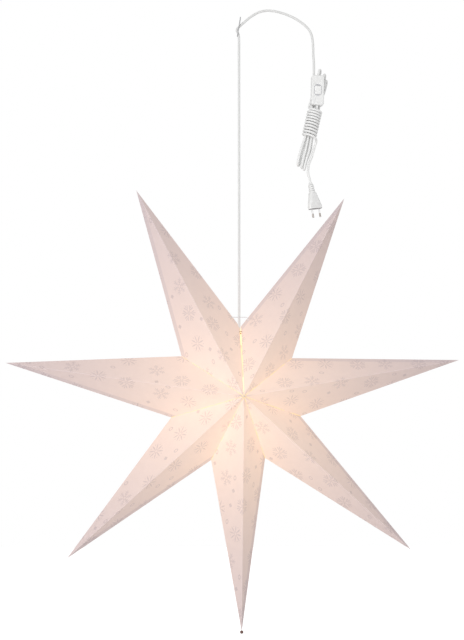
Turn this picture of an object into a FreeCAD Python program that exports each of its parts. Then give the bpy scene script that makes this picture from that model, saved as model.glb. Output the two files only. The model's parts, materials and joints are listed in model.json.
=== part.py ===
"""A folded paper star lamp that hangs on its cord, in millimetres.

+Z is up, the star's face looks along -Y, and the origin is the centre of the hanging eye in the
small plate that the cord is laced through. Rays are numbered clockwise, seen from the front,
from the open seam at the top.
"""
import FreeCAD
import Part
import Sketcher
import math
import os
import re

V = FreeCAD.Vector
UP, DOWN, RIGHT, BACK = V(0, 0, 1), V(0, 0, -1), V(1, 0, 0), V(0, 1, 0)

# ------------------------------------------------------------------ driving dimensions
SIZES = {
    # star
    "star_drop": 856.5,         # hanging eye down to the star's centre
    "cord_line": -2.7,          # x of the taut cord, which is also the star's turning axis
    "ray_reach": 500.0,         # centre to a ray's tip
    "notch_reach": 150.0,       # centre to the notch between two rays
    "half_depth": 110.0,        # centre to the front or the back hub
    "hub_shift": -1.6,          # the hubs sit this far to the left of the cord line
    "paper": 0.4,               # thickness of the folded sheet
    "flap_width": 11.0,         # glued flap inside each ray, along one side edge
    "seam_gap": 3.0,            # opening of the untied seam, at the notch
    "hub_hole": 1.2,            # radius of the hole in the hubs
    "cord_hole_play": 0.6,      # paper clear of the cord
    "tie_ring": 3.2,            # radius of a seam tie
    "tie_wire": 1.1,            # thickness of a seam tie
    "knot": 3.4,                # size of a hub knot
    "bead": 7.4,                # size of the bead on the lowest tip
    "bead_drop": 0.8,           # the tip down to the bead's centre
    # hanger wire
    "hanger_wire": 1.8,
    "hanger_rise": 68.0,        # ring up to the crossbar
    "hanger_bar": 40.0,         # length of the crossbar between its two bends
    "hanger_bend": 4.0,
    "hanger_opening": 12.0,     # half the angle that the ring is open at the back
    "hanger_play": 0.3,
    "ring_play": 0.06,          # the hanger's ring turns round the holder's neck
    "ring_rest": 0.2,           # and stands this far above its shoulder
    # lamp holder
    "holder_drop": 738.0,       # hanging eye down to the holder's top
    "neck_radius": 9.5,
    "neck_height": 7.0,
    "cord_inside": 12.0,        # cord from a holder's or switch's outside to its cut end
    "lead_radius": 0.9,
    "cap_radius": 14.5,
    "cap_height": 15.0,
    "skirt_height": 38.0,
    "holder_wall": 2.0,
    "insert_height": 7.0,
    "insert_step": 3.0,         # cap's rim down to the insulating insert
    "shell_thickness": 0.5,
    "shell_height": 23.0,
    "contact_radius": 2.6,
    "contact_height": 6.0,
    "contact_play": 0.3,
    # bulb with an E14 base
    "base_radius": 6.94,
    "base_height": 20.0,
    "base_play": 0.06,
    "base_nib": 2.4,
    "insulator_height": 3.0,
    "collar_radius": 10.0,
    "collar_height": 12.0,
    "globe_radius": 22.5,
    "glass": 0.9,
    # cord
    "cord_thickness": 5.4,
    "lace_play": 0.3,
    # plate that the cord is laced through
    "plate_length": 45.0,
    "plate_width": 15.0,
    "plate_thickness": 1.8,
    "plate_tilt": 9.3,
    "plate_turn": 6.3,
    "eye_radius": 3.0,
    "eye_from_end": 5.5,
    # inline switch
    "switch_x": 175.3,
    "switch_drop": 159.3,
    "switch_lean": 1.5,
    "switch_width": 28.4,
    "switch_length": 68.6,
    "switch_depth": 17.0,
    "switch_corner": 5.0,
    "switch_wall": 2.0,
    "switch_split": 9.5,        # depth of the front shell
    "switch_entry": -8.85,      # where the upper cord goes in, across the switch
    "rocker_width": 14.6,
    "rocker_radius": 12.0,      # round its pivot
    "rocker_depth": 7.8,        # pivot to the rocker's face
    "rocker_play": 1.3,         # groove round the rocker
    "rocker_throw": 12.0,       # degrees between on and off
    "pivot_radius": 1.25,
    "pivot_play": 0.05,
    "pivot_length": 21.0,
    "switch_screw": 3.0,        # radius of a screw's head
    "screw_head": 1.6,
    "boss_height": 3.5,
    # hank
    "hank_x": 171.6,
    "hank_drop": 200.3,
    "hank_depth": 9.6,          # the hank lies this far behind the cord's plane
    "hank_lean": 13.0,
    "bind_radius": 14.4,
    "bind_pitch": 6.6,
    "strand_step": 6.4,
    # plug
    "plug_x": 170.6,
    "plug_drop": 428.1,
    "plug_lean": 10.5,
    "plug_turn": 22.0,
    "plug_width": 35.3,
    "plug_flat": 26.1,
    "plug_thickness": 13.7,
    "plug_length": 38.0,
    "plug_neck": 12.6,
    "relief_length": 23.0,
    "relief_end": 8.6,
    "pin_gap": 18.6,
    "pin_thickness": 4.0,
    "pin_length": 19.0,
    "sleeve_length": 10.0,
    "sleeve_step": 0.1,         # a sleeve is this much slimmer than its pin's bare tip
}
# how far each ray leans clockwise from an even spread, in degrees, and how much further it reaches
RAY_LEANS = (2.0, 2.5, 2.3, -0.6, -4.2, -4.4, -0.7)
RAY_EXTRA = (11.0, 3.0, 4.0, 4.0, 8.5, 16.0, 15.0)
# the same for the notch that follows each ray
NOTCH_LEANS = (0.7, 2.2, 1.8, -0.9, -2.4, -2.2, 0.9)
NOTCH_EXTRA = (-1.0, -9.0, -9.0, -3.0, 5.0, 8.0, 11.0)
RAY_COUNT = len(RAY_LEANS)

doc = FreeCAD.newDocument("paper_star_lamp")
sheet = doc.addObject("Spreadsheet::Sheet", "Sizes")


def fill_sheet():
    """Write every driving dimension into the sheet, one row each."""
    rows = list(SIZES.items())
    for number in range(RAY_COUNT):
        rows.append(("ray_lean_%d" % (number + 1), RAY_LEANS[number]))
        rows.append(("ray_extra_%d" % (number + 1), RAY_EXTRA[number]))
        rows.append(("notch_lean_%d" % (number + 1), NOTCH_LEANS[number]))
        rows.append(("notch_extra_%d" % (number + 1), NOTCH_EXTRA[number]))
    for row, (alias, value) in enumerate(rows, start=1):
        sheet.set("A%d" % row, alias)
        sheet.set("B%d" % row, str(value))
        sheet.setAlias("B%d" % row, alias)
    doc.recompute()


def size(alias):
    """A driving dimension, read back from the sheet."""
    return float(sheet.get(alias))


def bound(formula):
    """The formula with every driving dimension's name pointed at its cell."""
    return re.sub(r"[a-z][a-z_0-9]*", lambda word: "Sizes." + word.group() if is_size(word.group())
                  else word.group(), str(formula))


def is_size(word):
    return word in SIZES


fill_sheet()
NODES = []


# ------------------------------------------------------------------ helpers
def node(thing, place=None):
    """Name a finished sub-part, place it and remember it for writing."""
    thing.Label = thing.Name
    if place is not None:
        thing.Placement = place
    NODES.append(thing)
    return thing


def primitive(kind, name, at=(0, 0, 0), turn=None, **sizes):
    """A Part primitive whose sizes and place follow the sheet."""
    thing = doc.addObject("Part::" + kind, name)
    for prop, formula in sizes.items():
        thing.setExpression(prop, bound(formula))
    thing.Placement = FreeCAD.Placement(V(), turn or FreeCAD.Rotation())
    for letter, formula in zip("xyz", at):
        thing.setExpression(".Placement.Base." + letter, bound(formula))
    return thing


def placed(name, blank, place):
    """A primitive whose own place follows the sheet, carried to its place on the object."""
    thing = doc.addObject("Part::Compound", name)
    thing.Links = [blank]
    return node(thing, place)


def cut(name, base, *tools):
    """The base less its tools."""
    thing = doc.addObject("Part::Cut", name)
    thing.Base = base
    thing.Tool = tools[0] if len(tools) == 1 else fuse(name + "_tools", *tools)
    return thing


def fuse(name, *parts):
    """Several solids as one."""
    thing = doc.addObject("Part::MultiFuse", name)
    thing.Shapes = list(parts)
    return thing


def feature(name, shape):
    """A Part::Feature with a shape worked out from the sheet."""
    thing = doc.addObject("Part::Feature", name)
    thing.Shape = shape
    return thing


ALONG_X = FreeCAD.Rotation(UP, RIGHT)
ALONG_Y = FreeCAD.Rotation(UP, BACK)


def origin_plane(body, role):
    """One of a body's own origin planes."""
    return next(plane for plane in body.Origin.OriginFeatures if plane.Role == role)


def rounded_sketch(body, name, width, length, corner, offset="0", shift=("0", "0")):
    """A rectangle with round corners on the body's XZ plane, its sizes bound to the sheet."""
    sketch = body.newObject("Sketcher::SketchObject", name)
    sketch.AttachmentSupport = [(origin_plane(body, "XZ_Plane"), "")]
    sketch.MapMode = "FlatFace"
    half_w, half_l, rad = 10.0, 20.0, 3.0
    corners = [(half_w, half_l, 0), (-half_w, half_l, 90), (-half_w, -half_l, 180), (half_w, -half_l, 270)]
    for x, y, start in corners:
        centre = V(x - math.copysign(rad, x), y - math.copysign(rad, y), 0)
        circle = Part.Circle(centre, UP, rad)
        first, last = math.radians(start), math.radians(start + 90)
        sketch.addGeometry(Part.ArcOfCircle(circle, first, last), False)
    for number in range(4):
        this_arc = sketch.Geometry[number]
        next_arc = sketch.Geometry[(number + 1) % 4]
        sketch.addGeometry(Part.LineSegment(this_arc.EndPoint, next_arc.StartPoint), False)
    tie = sketch.addConstraint
    for number in range(4):
        line = 4 + number
        tie(Sketcher.Constraint("Tangent", number, 2, line, 1))
        tie(Sketcher.Constraint("Tangent", line, 2, (number + 1) % 4, 1))
        tie(Sketcher.Constraint("Horizontal" if number % 2 == 0 else "Vertical", line))
        if number:
            tie(Sketcher.Constraint("Equal", 0, number))
    tie(Sketcher.Constraint("Symmetric", 4, 1, 6, 1, -1, 1))
    named = {
        "corner": tie(Sketcher.Constraint("Radius", 0, rad)),
        "across": tie(Sketcher.Constraint("DistanceX", 5, 1, 7, 1, 2 * half_w)),
        "along": tie(Sketcher.Constraint("DistanceY", 6, 1, 4, 1, 2 * half_l)),
    }
    formulas = {"corner": corner, "across": width, "along": length}
    for label, index in named.items():
        sketch.renameConstraint(index, label)
        sketch.setExpression(".Constraints." + label, bound(formulas[label]))
    sketch.setExpression(".AttachmentOffset.Base.x", bound(shift[0]))
    sketch.setExpression(".AttachmentOffset.Base.y", bound(shift[1]))
    sketch.setExpression(".AttachmentOffset.Base.z", bound(offset))
    doc.recompute()
    return sketch


def pad(body, name, sketch, length):
    """Pad a sketch of the XZ plane towards the front."""
    thing = body.newObject("PartDesign::Pad", name)
    thing.Profile = sketch
    thing.setExpression("Length", bound(length))
    doc.recompute()
    return thing


def pocket(body, name, sketch, length):
    """Cut a sketch of the XZ plane towards the front."""
    before = body.Shape.Volume
    thing = body.newObject("PartDesign::Pocket", name)
    thing.Profile = sketch
    thing.Reversed = True
    thing.setExpression("Length", bound(length))
    doc.recompute()
    if body.Shape.Volume >= before:
        raise RuntimeError(name + " cut nothing")
    return thing


def round_edges(body, name, radius, chosen):
    """Fillet the edges of the body's last feature that pass a test."""
    tip = body.Tip
    names = ["Edge%d" % (k + 1) for k, edge in enumerate(tip.Shape.Edges) if chosen(edge)]
    thing = body.newObject("PartDesign::Fillet", name)
    thing.Base = (tip, names)
    thing.setExpression("Radius", bound(radius))
    doc.recompute()
    return thing


# ------------------------------------------------------------------ cords
def corner_path(points, print_as):
    """Straight runs joined by tangent arcs, each as large as its two runs allow."""
    edges, radii = [], []
    start = points[0]
    for before, here, after in zip(points, points[1:], points[2:]):
        run_in, run_out = here - before, after - here
        turn = run_in.getAngle(run_out)
        reach = 0.45 * min(run_in.Length, run_out.Length)
        radii.append(reach / math.tan(turn / 2))
        into = V(run_in).normalize()
        out = V(run_out).normalize()
        arc_start = here - into * reach
        arc_end = here + out * reach
        bow = (out - into).normalize()
        to_centre = radii[-1] / math.cos(turn / 2)
        middle = here + bow * (to_centre - radii[-1])
        edges.append(Part.LineSegment(start, arc_start).toShape())
        edges.append(Part.Arc(arc_start, middle, arc_end).toShape())
        start = arc_end
    edges.append(Part.LineSegment(start, points[-1]).toShape())
    print(print_as, "radii", " ".join("%.1f" % radius for radius in radii))
    return Part.Wire(edges)


def tube(wire, diameter):
    """A round tube along a wire."""
    first = wire.OrderedEdges[0]
    direction = first.tangentAt(first.FirstParameter)
    ring = Part.Wire([Part.makeCircle(diameter / 2, wire.OrderedVertexes[0].Point, direction)])
    body = wire.makePipeShell([ring], True, False)
    section = math.pi * diameter ** 2 / 4
    print("   length %.1f, volume over section times length %.4f"
          % (wire.Length, body.Volume / (section * wire.Length)))
    return body


def biarc(start, start_way, end, end_way):
    """Two arcs, tangent to each other and to both given directions."""
    chord = end - start
    both = start_way + end_way
    bend = 2 * (1 - start_way.dot(end_way))
    along = chord.dot(both)
    if bend < 1e-9:
        reach = chord.dot(chord) / (4 * chord.dot(end_way))
    else:
        reach = (math.sqrt(along ** 2 + bend * chord.dot(chord)) - along) / bend
    joint = (start + end + (start_way - end_way) * reach) / 2
    way = (joint - start - start_way * reach).normalize()
    return [arc_from(start, start_way, joint), arc_from(joint, way, end)]


def arc_from(start, way, end):
    """The arc, or the line, that leaves start along way and ends at end."""
    chord = end - start
    side = chord - way * chord.dot(way)
    if side.Length < 1e-6 * chord.Length:
        return Part.LineSegment(start, end).toShape()
    radius = chord.dot(chord) / (2 * side.Length)
    centre = start + side.normalize() * radius
    towards = (start + end) / 2 - centre
    sweep_past_half = chord.dot(way) < 0
    if towards.Length < 1e-6:
        towards = V(way)
    elif sweep_past_half:
        towards = towards * -1
    middle = centre + towards.normalize() * radius
    return Part.Arc(start, middle, end).toShape()


def knot_path(knots):
    """Biarcs through (point, direction) knots; two knots on one line are joined by a line."""
    edges = []
    for (start, way), (end, end_way) in zip(knots, knots[1:]):
        way, end_way = V(way).normalize(), V(end_way).normalize()
        chord = end - start
        if chord.cross(way).Length < 1e-6 and chord.cross(end_way).Length < 1e-6:
            edges.append(Part.LineSegment(start, end).toShape())
        else:
            edges.extend(biarc(start, way, end, end_way))
    return Part.Wire(edges)


def least_gap(wire, diameter, step=1.5, near=14.0):
    """The least gap of a tube to itself, measured on points along its middle."""
    points, walked = [], 0.0
    for edge in wire.OrderedEdges:
        count = max(2, int(edge.Length / step))
        for point in edge.discretize(count)[:-1]:
            points.append(point)
    lengths = [0.0]
    for here, after in zip(points, points[1:]):
        walked += (after - here).Length
        lengths.append(walked)
    least = 1e9
    for i, first in enumerate(points):
        for j in range(i + 1, len(points)):
            if lengths[j] - lengths[i] > near:
                least = min(least, (points[j] - first).Length)
    return least - diameter


# ------------------------------------------------------------------ places worked out from the sheet
EYE_PLACE = FreeCAD.Placement(V(), FreeCAD.Rotation(UP, -size("plate_turn"))
                              * FreeCAD.Rotation(BACK, size("plate_tilt")))
SWITCH_PLACE = FreeCAD.Placement(V(size("switch_x"), 0, -size("switch_drop")),
                                 FreeCAD.Rotation(BACK, size("switch_lean")))
HANK_PLACE = FreeCAD.Placement(V(size("hank_x"), size("hank_depth"), -size("hank_drop")),
                               FreeCAD.Rotation(BACK, size("hank_lean")))
PLUG_PLACE = FreeCAD.Placement(V(size("plug_x"), size("hank_depth"), -size("plug_drop")),
                               FreeCAD.Rotation(BACK, -size("plug_lean"))
                               * FreeCAD.Rotation(UP, size("plug_turn")))
CENTRE = V(size("cord_line"), 0, -size("star_drop"))
FRONT_HUB = CENTRE + V(size("hub_shift"), -size("half_depth"), 0)
BACK_HUB = CENTRE + V(size("hub_shift"), size("half_depth"), 0)


def around_star(degrees, reach):
    """A point of the star's middle plane, by its angle clockwise from the top."""
    angle = math.radians(degrees)
    return CENTRE + V(math.sin(angle), 0, math.cos(angle)) * reach


def ray_tip(number):
    even = (number - 0.5) * 360 / RAY_COUNT
    return around_star(even + size("ray_lean_%d" % number),
                       size("ray_reach") + size("ray_extra_%d" % number))


def notch(number):
    """The notch that follows a ray; notch 0 is the one at the seam, like the last."""
    label = number or RAY_COUNT
    even = number * 360 / RAY_COUNT
    return around_star(even + size("notch_lean_%d" % label),
                       size("notch_reach") + size("notch_extra_%d" % label))


# ------------------------------------------------------------------ paper star
def solid_of(triangles):
    """A closed solid from its triangles."""
    faces = [Part.Face(Part.makePolygon([a, b, c, a])) for a, b, c in triangles]
    return Part.Solid(Part.Shell(faces))


def ray_wedge(tip, left, right, front, back):
    """A ray filled solid, between its tip, its two notches and the two hubs."""
    return solid_of([(front, left, tip), (front, tip, right), (back, tip, left),
                     (back, right, tip), (front, back, left), (back, front, right)])


def facet_normal(a, b, c, inside):
    """Unit normal of a facet, towards the inside."""
    normal = (b - a).cross(c - a).normalize()
    return normal if (inside - a).dot(normal) > 0 else normal * -1


def ray_hollow(tip, left, right, front, back, wall):
    """The space inside a ray: its wedge drawn in by the wall and run out past the middle."""
    inside = (tip + left + right + front + back) / 5
    flanks = {}
    for side, corner in (("left", left), ("right", right)):
        for face, hub in (("front", front), ("back", back)):
            flanks[side, face] = facet_normal(hub, corner, tip, inside)
    inner_tip = tip + drawn_in(flanks, wall)
    edges = {
        "left": flanks["left", "front"].cross(flanks["left", "back"]),
        "right": flanks["right", "front"].cross(flanks["right", "back"]),
        "front": flanks["left", "front"].cross(flanks["right", "front"]),
        "back": flanks["left", "back"].cross(flanks["right", "back"]),
    }
    ray_way = (CENTRE - tip).normalize()
    run = (CENTRE - tip).Length * 1.3
    far = {}
    for name, way in edges.items():
        way = way if way.dot(ray_way) > 0 else way * -1
        far[name] = inner_tip + way * (run / way.dot(ray_way))
    return solid_of([(far["front"], far["left"], inner_tip), (far["front"], inner_tip, far["right"]),
                     (far["back"], inner_tip, far["left"]), (far["back"], far["right"], inner_tip),
                     (far["front"], far["back"], far["left"]), (far["back"], far["front"], far["right"])])


def drawn_in(flanks, wall):
    """How far the tip of the hollow lies from the ray's tip, from three of the four flanks."""
    a, b, c = flanks["left", "front"], flanks["left", "back"], flanks["right", "front"]
    volume = a.dot(b.cross(c))
    return (b.cross(c) + c.cross(a) + a.cross(b)) * (wall / volume)


def glue_flap(tip, left, front, inside, wall, width):
    """A strip of a second layer inside a front facet, along the ray's left side edge."""
    inward = facet_normal(front, left, tip, inside)
    edge = tip - left
    across = inward.cross(edge).normalize()
    if across.dot(front - left) < 0:
        across = across * -1
    low, high = left + edge * 0.05, left + edge * 0.94
    corners = [low, high, high + across * (width * 0.35) - edge * 0.02,
               low + across * width + edge * 0.02]
    corners = [corner + inward * wall * 0.98 for corner in corners]
    return Part.Face(Part.makePolygon(corners + corners[:1])).extrude(inward * wall)


def seam_side(point, number, side):
    """A seam notch, moved over by half the seam's gap."""
    half = size("seam_gap") / 2
    if number == 1 and side == "left":
        return point + RIGHT * half
    if number == RAY_COUNT and side == "right":
        return point - RIGHT * half
    return point


def tie_place(hub):
    """Centre of a seam tie, a short way down the seam from the notch to a hub."""
    return notch(0) + (hub - notch(0)) * 0.09


def tie_shape(hub, thickness):
    """A ring through both edges of the seam."""
    along = (hub - notch(0)).normalize()
    return Part.makeTorus(size("tie_ring"), thickness / 2, tie_place(hub), along)


def hanger_shape(diameter):
    """The hanger wire: a bar in front of the cord, two arms down from it and an open ring.

    The ring lies on the lamp holder's shoulder, round its neck, and is open at the back. Its
    front ends run straight on to the arms' feet.
    """
    wire = size("hanger_wire")
    ring = size("neck_radius") + size("ring_play") + wire / 2
    front = -(size("cord_thickness") / 2 + size("hanger_play") + wire / 2)
    low = -size("holder_drop") - size("neck_height") + wire / 2 + size("ring_rest")
    high = low + size("hanger_rise")
    foot_run = size("hanger_bend") + 0.5
    leave = math.acos(front / math.hypot(ring, foot_run)) - math.atan2(foot_run, ring)
    opening = math.radians(size("hanger_opening"))
    axis = V(size("cord_line"), 0, low)

    def on_ring(way, angle):
        return axis + V(way * ring * math.sin(angle), ring * math.cos(angle), 0)

    ends = [on_ring(way, leave) for way in (-1, 1)]
    feet = [end + V(way * math.cos(leave), -math.sin(leave), 0) * foot_run
            for way, end in zip((-1, 1), ends)]
    tops = [V(axis.x + way * size("hanger_bar") / 2, front, high) for way in (-1, 1)]
    arms = bent_edges([ends[0], feet[0], tops[0], tops[1], feet[1], ends[1]], size("hanger_bend"))
    left, right = [Part.Arc(on_ring(way, opening), on_ring(way, (opening + leave) / 2), end).toShape()
                   for way, end in zip((-1, 1), ends)]
    right.reverse()
    return plain_tube(Part.Wire([left] + arms + [right]), diameter)


def bent_edges(points, radius):
    """Straight runs joined by tangent arcs of one radius."""
    edges = []
    start = points[0]
    for before, here, after in zip(points, points[1:], points[2:]):
        into, out = (here - before).normalize(), (after - here).normalize()
        turn = into.getAngle(out)
        reach = radius * math.tan(turn / 2)
        middle = here + (out - into).normalize() * (radius / math.cos(turn / 2) - radius)
        edges.append(Part.LineSegment(start, here - into * reach).toShape())
        edges.append(Part.Arc(here - into * reach, middle, here + out * reach).toShape())
        start = here + out * reach
    edges.append(Part.LineSegment(start, points[-1]).toShape())
    return edges


def plain_tube(wire, diameter):
    """A tube with no printed check."""
    first = wire.OrderedEdges[0]
    direction = first.tangentAt(first.FirstParameter)
    ring = Part.Wire([Part.makeCircle(diameter / 2, wire.OrderedVertexes[0].Point, direction)])
    return wire.makePipeShell([ring], True, False)


def build_star():
    wall = size("paper")
    hanger_hole = hanger_shape(size("hanger_wire") + 2 * size("hanger_play"))
    cord_hole = Part.makeCylinder(size("cord_thickness") / 2 + size("cord_hole_play"), 400,
                                  CENTRE, UP)
    hub_hole = Part.makeCylinder(size("hub_hole"), 4 * size("half_depth"),
                                 FRONT_HUB - BACK * size("half_depth"), BACK)
    ties = [tie_shape(hub, size("tie_wire") + 2 * size("hanger_play")) for hub in (FRONT_HUB, BACK_HUB)]
    for number in range(1, RAY_COUNT + 1):
        tip = ray_tip(number)
        left = seam_side(notch(number - 1), number, "left")
        right = seam_side(notch(number), number, "right")
        inside = (tip + left + right) / 3
        shape = ray_wedge(tip, left, right, FRONT_HUB, BACK_HUB)
        shape = shape.cut(ray_hollow(tip, left, right, FRONT_HUB, BACK_HUB, wall))
        shape = shape.fuse(glue_flap(tip, left, FRONT_HUB, inside, wall, size("flap_width")))
        holes = [hub_hole]
        if number in (1, RAY_COUNT):
            holes += [cord_hole, hanger_hole] + ties
        shape = shape.cut(holes)
        node(feature("ray_%d" % number, shape))
    for label, hub in (("front", FRONT_HUB), ("back", BACK_HUB)):
        node(feature("seam_tie_" + label, tie_shape(hub, size("tie_wire"))))
    build_hub_knots()
    build_bead()
    node(feature("hanger_wire", hanger_shape(size("hanger_wire"))))


def build_hub_knots():
    """A knot on each hub, drawn against the paper by its thread."""
    for label, hub, out in (("front", FRONT_HUB, -1), ("back", BACK_HUB, 1)):
        x, z = "cord_line + hub_shift", "-star_drop"
        outer = "%d * (half_depth + knot * 0.35)" % out
        inner = "%d * (half_depth - knot * 1.3)" % out
        head = primitive("Sphere", "knot_head_" + label, (x, outer, z), Radius="knot / 2")
        tail = primitive("Sphere", "knot_tail_" + label, (x, inner, z), Radius="knot / 2")
        stem_from = inner if out > 0 else outer
        stem = primitive("Cylinder", "knot_stem_" + label, (x, stem_from, z), ALONG_Y,
                         Radius="hub_hole - 0.1", Height="knot * 1.65")
        node(fuse("hub_knot_" + label, head, tail, stem))


def build_bead():
    """A small bead threaded on the lowest tip."""
    lowest = (RAY_COUNT + 1) // 2
    tip = ray_tip(lowest)
    bead = doc.addObject("Part::Sphere", "tip_bead_ball")
    bead.setExpression("Radius", bound("bead / 2"))
    bead.Placement.Base = tip + DOWN * size("bead_drop")
    # the socket is the ray filled solid, so that no loose core is left inside the bead
    socket = ray_wedge(tip, notch(lowest - 1), notch(lowest), FRONT_HUB, BACK_HUB)
    node(cut("tip_bead", bead, feature("bead_socket", socket)))


# ------------------------------------------------------------------ lamp holder and bulb
def build_holder():
    x = "cord_line"
    cap_z = "-holder_drop - neck_height"
    neck = primitive("Cylinder", "holder_neck", (x, "0", cap_z), Radius="neck_radius",
                     Height="neck_height")
    drum = primitive("Cylinder", "holder_drum", (x, "0", cap_z + " - cap_height"), Radius="cap_radius",
                     Height="cap_height")
    inside = primitive("Cylinder", "holder_inside", (x, "0", cap_z + " - cap_height - 1"),
                       Radius="cap_radius - holder_wall", Height="cap_height - holder_wall + 1")
    throat = primitive("Cylinder", "holder_throat", (x, "0", cap_z + " - cap_height"),
                       Radius="cord_thickness / 2", Height="neck_height + cap_height + 1")
    outer = fuse("holder_cap_outer", neck, drum)
    node(cut("holder_cap", outer, inside, throat))

    rim_z = cap_z + " - cap_height"
    skirt_z = rim_z + " - skirt_height"
    skirt = primitive("Cylinder", "skirt_outer", (x, "0", skirt_z), Radius="cap_radius",
                      Height="skirt_height")
    bore = primitive("Cylinder", "skirt_bore", (x, "0", skirt_z + " - 1"),
                     Radius="cap_radius - holder_wall", Height="skirt_height + 2")
    node(cut("holder_skirt", skirt, bore))

    insert_z = rim_z + " - insert_step - insert_height"
    puck = primitive("Cylinder", "insert_puck", (x, "0", insert_z), Radius="cap_radius - holder_wall",
                     Height="insert_height")
    hole = primitive("Cylinder", "insert_hole", (x, "0", insert_z + " - 1"),
                     Radius="contact_radius + contact_play", Height="insert_height + 2")
    node(cut("holder_insert", puck, hole))

    shell_z = insert_z + " - shell_height"
    wide = primitive("Cylinder", "shell_outer", (x, "0", shell_z),
                     Radius="base_radius + base_play + shell_thickness", Height="shell_height")
    narrow = primitive("Cylinder", "shell_bore", (x, "0", shell_z + " - 1"),
                       Radius="base_radius + base_play", Height="shell_height + 2")
    node(cut("holder_screw_shell", wide, narrow))

    block_z = insert_z + " + insert_height"
    blocks, screws = [], []
    for side in (-1, 1):
        block_x = "cord_line + %d * 6 - 2" % side
        blocks.append(primitive("Box", "terminal_block_%d" % (side + 2), (block_x, "-2.5", block_z),
                                Length="4", Width="5", Height="5"))
        screws.append(primitive("Cylinder", "terminal_screw_%d" % (side + 2),
                                ("cord_line + %d * 6" % side, "-5", block_z + " + 2.5"), ALONG_Y,
                                Radius="1.3", Height="2.5"))
    node(fuse("holder_terminals", *blocks))
    node(fuse("holder_terminal_screws", *screws))

    cord_end = V(size("cord_line"), 0, -size("holder_drop") - size("cord_inside"))
    block_top = -size("holder_drop") - size("neck_height") - size("cap_height") - size("insert_step") + 5
    ends = [V(cord_end.x + side * 6, 0, block_top) for side in (-1, 1)]
    node(feature("holder_leads", lead_pair(cord_end, ends)))

    contact_z = insert_z + " - 1.2"
    node(primitive("Cylinder", "holder_centre_contact", (x, "0", contact_z), Radius="contact_radius",
                   Height="contact_height"))


def lead_pair(cord_end, ends):
    """Two bare conductors from a cord's cut end to the terminals, ending flat on both."""
    low, high = sorted((cord_end.z, ends[0].z))
    slab = Part.makeBox(60, 60, high - low, V(cord_end.x - 30, -30, low))
    leads = []
    for side, end in zip((-1, 1), ends):
        start = cord_end + RIGHT * side * 1.3
        way = (end - start).normalize()
        length = (end - start).Length + 4
        lead = Part.makeCylinder(size("lead_radius"), length, start - way * 2, way)
        leads.append(lead.common(slab))
    return Part.makeCompound(leads)


def build_bulb():
    x = "cord_line"
    insert_z = "-holder_drop - neck_height - cap_height - insert_step - insert_height"
    tip_z = insert_z + " - 1.2 - base_nib"
    node(primitive("Cylinder", "bulb_contact", (x, "0", tip_z), Radius="3.4", Height="base_nib"))
    insulator_z = tip_z + " - insulator_height"
    insulator = primitive("Cone", "bulb_insulator", (x, "0", insulator_z), Radius1="base_radius - 0.6",
                          Radius2="3.9", Height="insulator_height")
    node(insulator)
    base_z = insulator_z + " - base_height"
    outer = primitive("Cylinder", "base_outer", (x, "0", base_z), Radius="base_radius",
                      Height="base_height")
    core = primitive("Cylinder", "base_core", (x, "0", base_z + " - 1"), Radius="base_radius - 0.5",
                     Height="base_height + 2")
    node(cut("bulb_base", outer, core))
    collar_z = base_z + " - collar_height"
    collar = primitive("Cone", "collar_cone", (x, "0", collar_z), Radius1="collar_radius + 3",
                       Radius2="base_radius + 0.8", Height="collar_height")
    plug_up = primitive("Cylinder", "collar_spigot", (x, "0", base_z), Radius="base_radius - 0.5",
                        Height="base_height")
    node(fuse("bulb_collar", collar, plug_up))
    globe_z = collar_z + " - sqrt(globe_radius ^ 2 - (collar_radius + 3) ^ 2)"
    ball = primitive("Sphere", "globe_ball", (x, "0", globe_z), Radius="globe_radius")
    void = primitive("Sphere", "globe_void", (x, "0", globe_z), Radius="globe_radius - glass")
    lid = primitive("Box", "globe_lid", (x + " - 2 * globe_radius", "-2 * globe_radius", collar_z),
                    Length="4 * globe_radius", Width="4 * globe_radius", Height="2 * globe_radius")
    node(cut("bulb_globe", ball, void, lid))
    node(primitive("Cylinder", "bulb_light_stem", (x, "0", globe_z), Radius="4",
                   Height="sqrt(globe_radius ^ 2 - (collar_radius + 3) ^ 2)"))


# ------------------------------------------------------------------ plate, cords
def lace_route():
    """The cord from the lamp holder up through the two holes of the plate; chosen by hand."""
    line = size("cord_line")
    low = -size("holder_drop") - size("cord_inside")
    return [V(line, 0, low), V(line, 0, -33.3), V(-10.1, 0, -24.5), V(-3.2, 0, -18.0)]


def arch_route():
    """The cord from the plate over to the switch; chosen by hand."""
    inside = size("switch_length") / 2 - size("cord_inside") / 2
    entry = SWITCH_PLACE.multVec(V(size("switch_entry"), 0, inside))
    above = entry + SWITCH_PLACE.Rotation.multVec(UP) * 28
    return [V(-3.2, 0, -18.0), V(4.5, 0, -10.2), V(24.5, 0, 8.0), V(46, 0, 21), V(71, 0, 23.6),
            V(99, 0, 17.6), V(125, 0, 7), V(147, 0, -7.5), V(162, 0, -24.5), V(166, 0, -50),
            V(166.2, 0, -76), above, entry]


def build_plate_and_cords():
    diameter = size("cord_thickness")
    lace = lace_route()
    arch = arch_route()
    # the whole route is rounded in one go, then parted in the plate's upper hole
    whole = corner_path(lace[:-1] + arch[1:], "cord from the holder to the switch")
    edges = whole.OrderedEdges
    parting = edges[4]
    middle = (parting.Vertexes[0].Point + parting.Vertexes[-1].Point) / 2
    if parting.Curve.TypeId != "Part::GeomLine":
        raise RuntimeError("the cord is parted on a straight run")
    start, end = parting.Vertexes[0].Point, parting.Vertexes[-1].Point
    drop = Part.Wire(edges[:4] + [Part.LineSegment(start, middle).toShape()])
    over = Part.Wire([Part.LineSegment(middle, end).toShape()] + edges[5:])
    node(feature("cord_drop", tube(drop, diameter)))
    node(feature("cord_arch", tube(over, diameter)))
    lacing = plain_tube(Part.Wire(edges[1:8]), diameter + 2 * size("lace_play"))
    build_plate(lacing)


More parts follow.
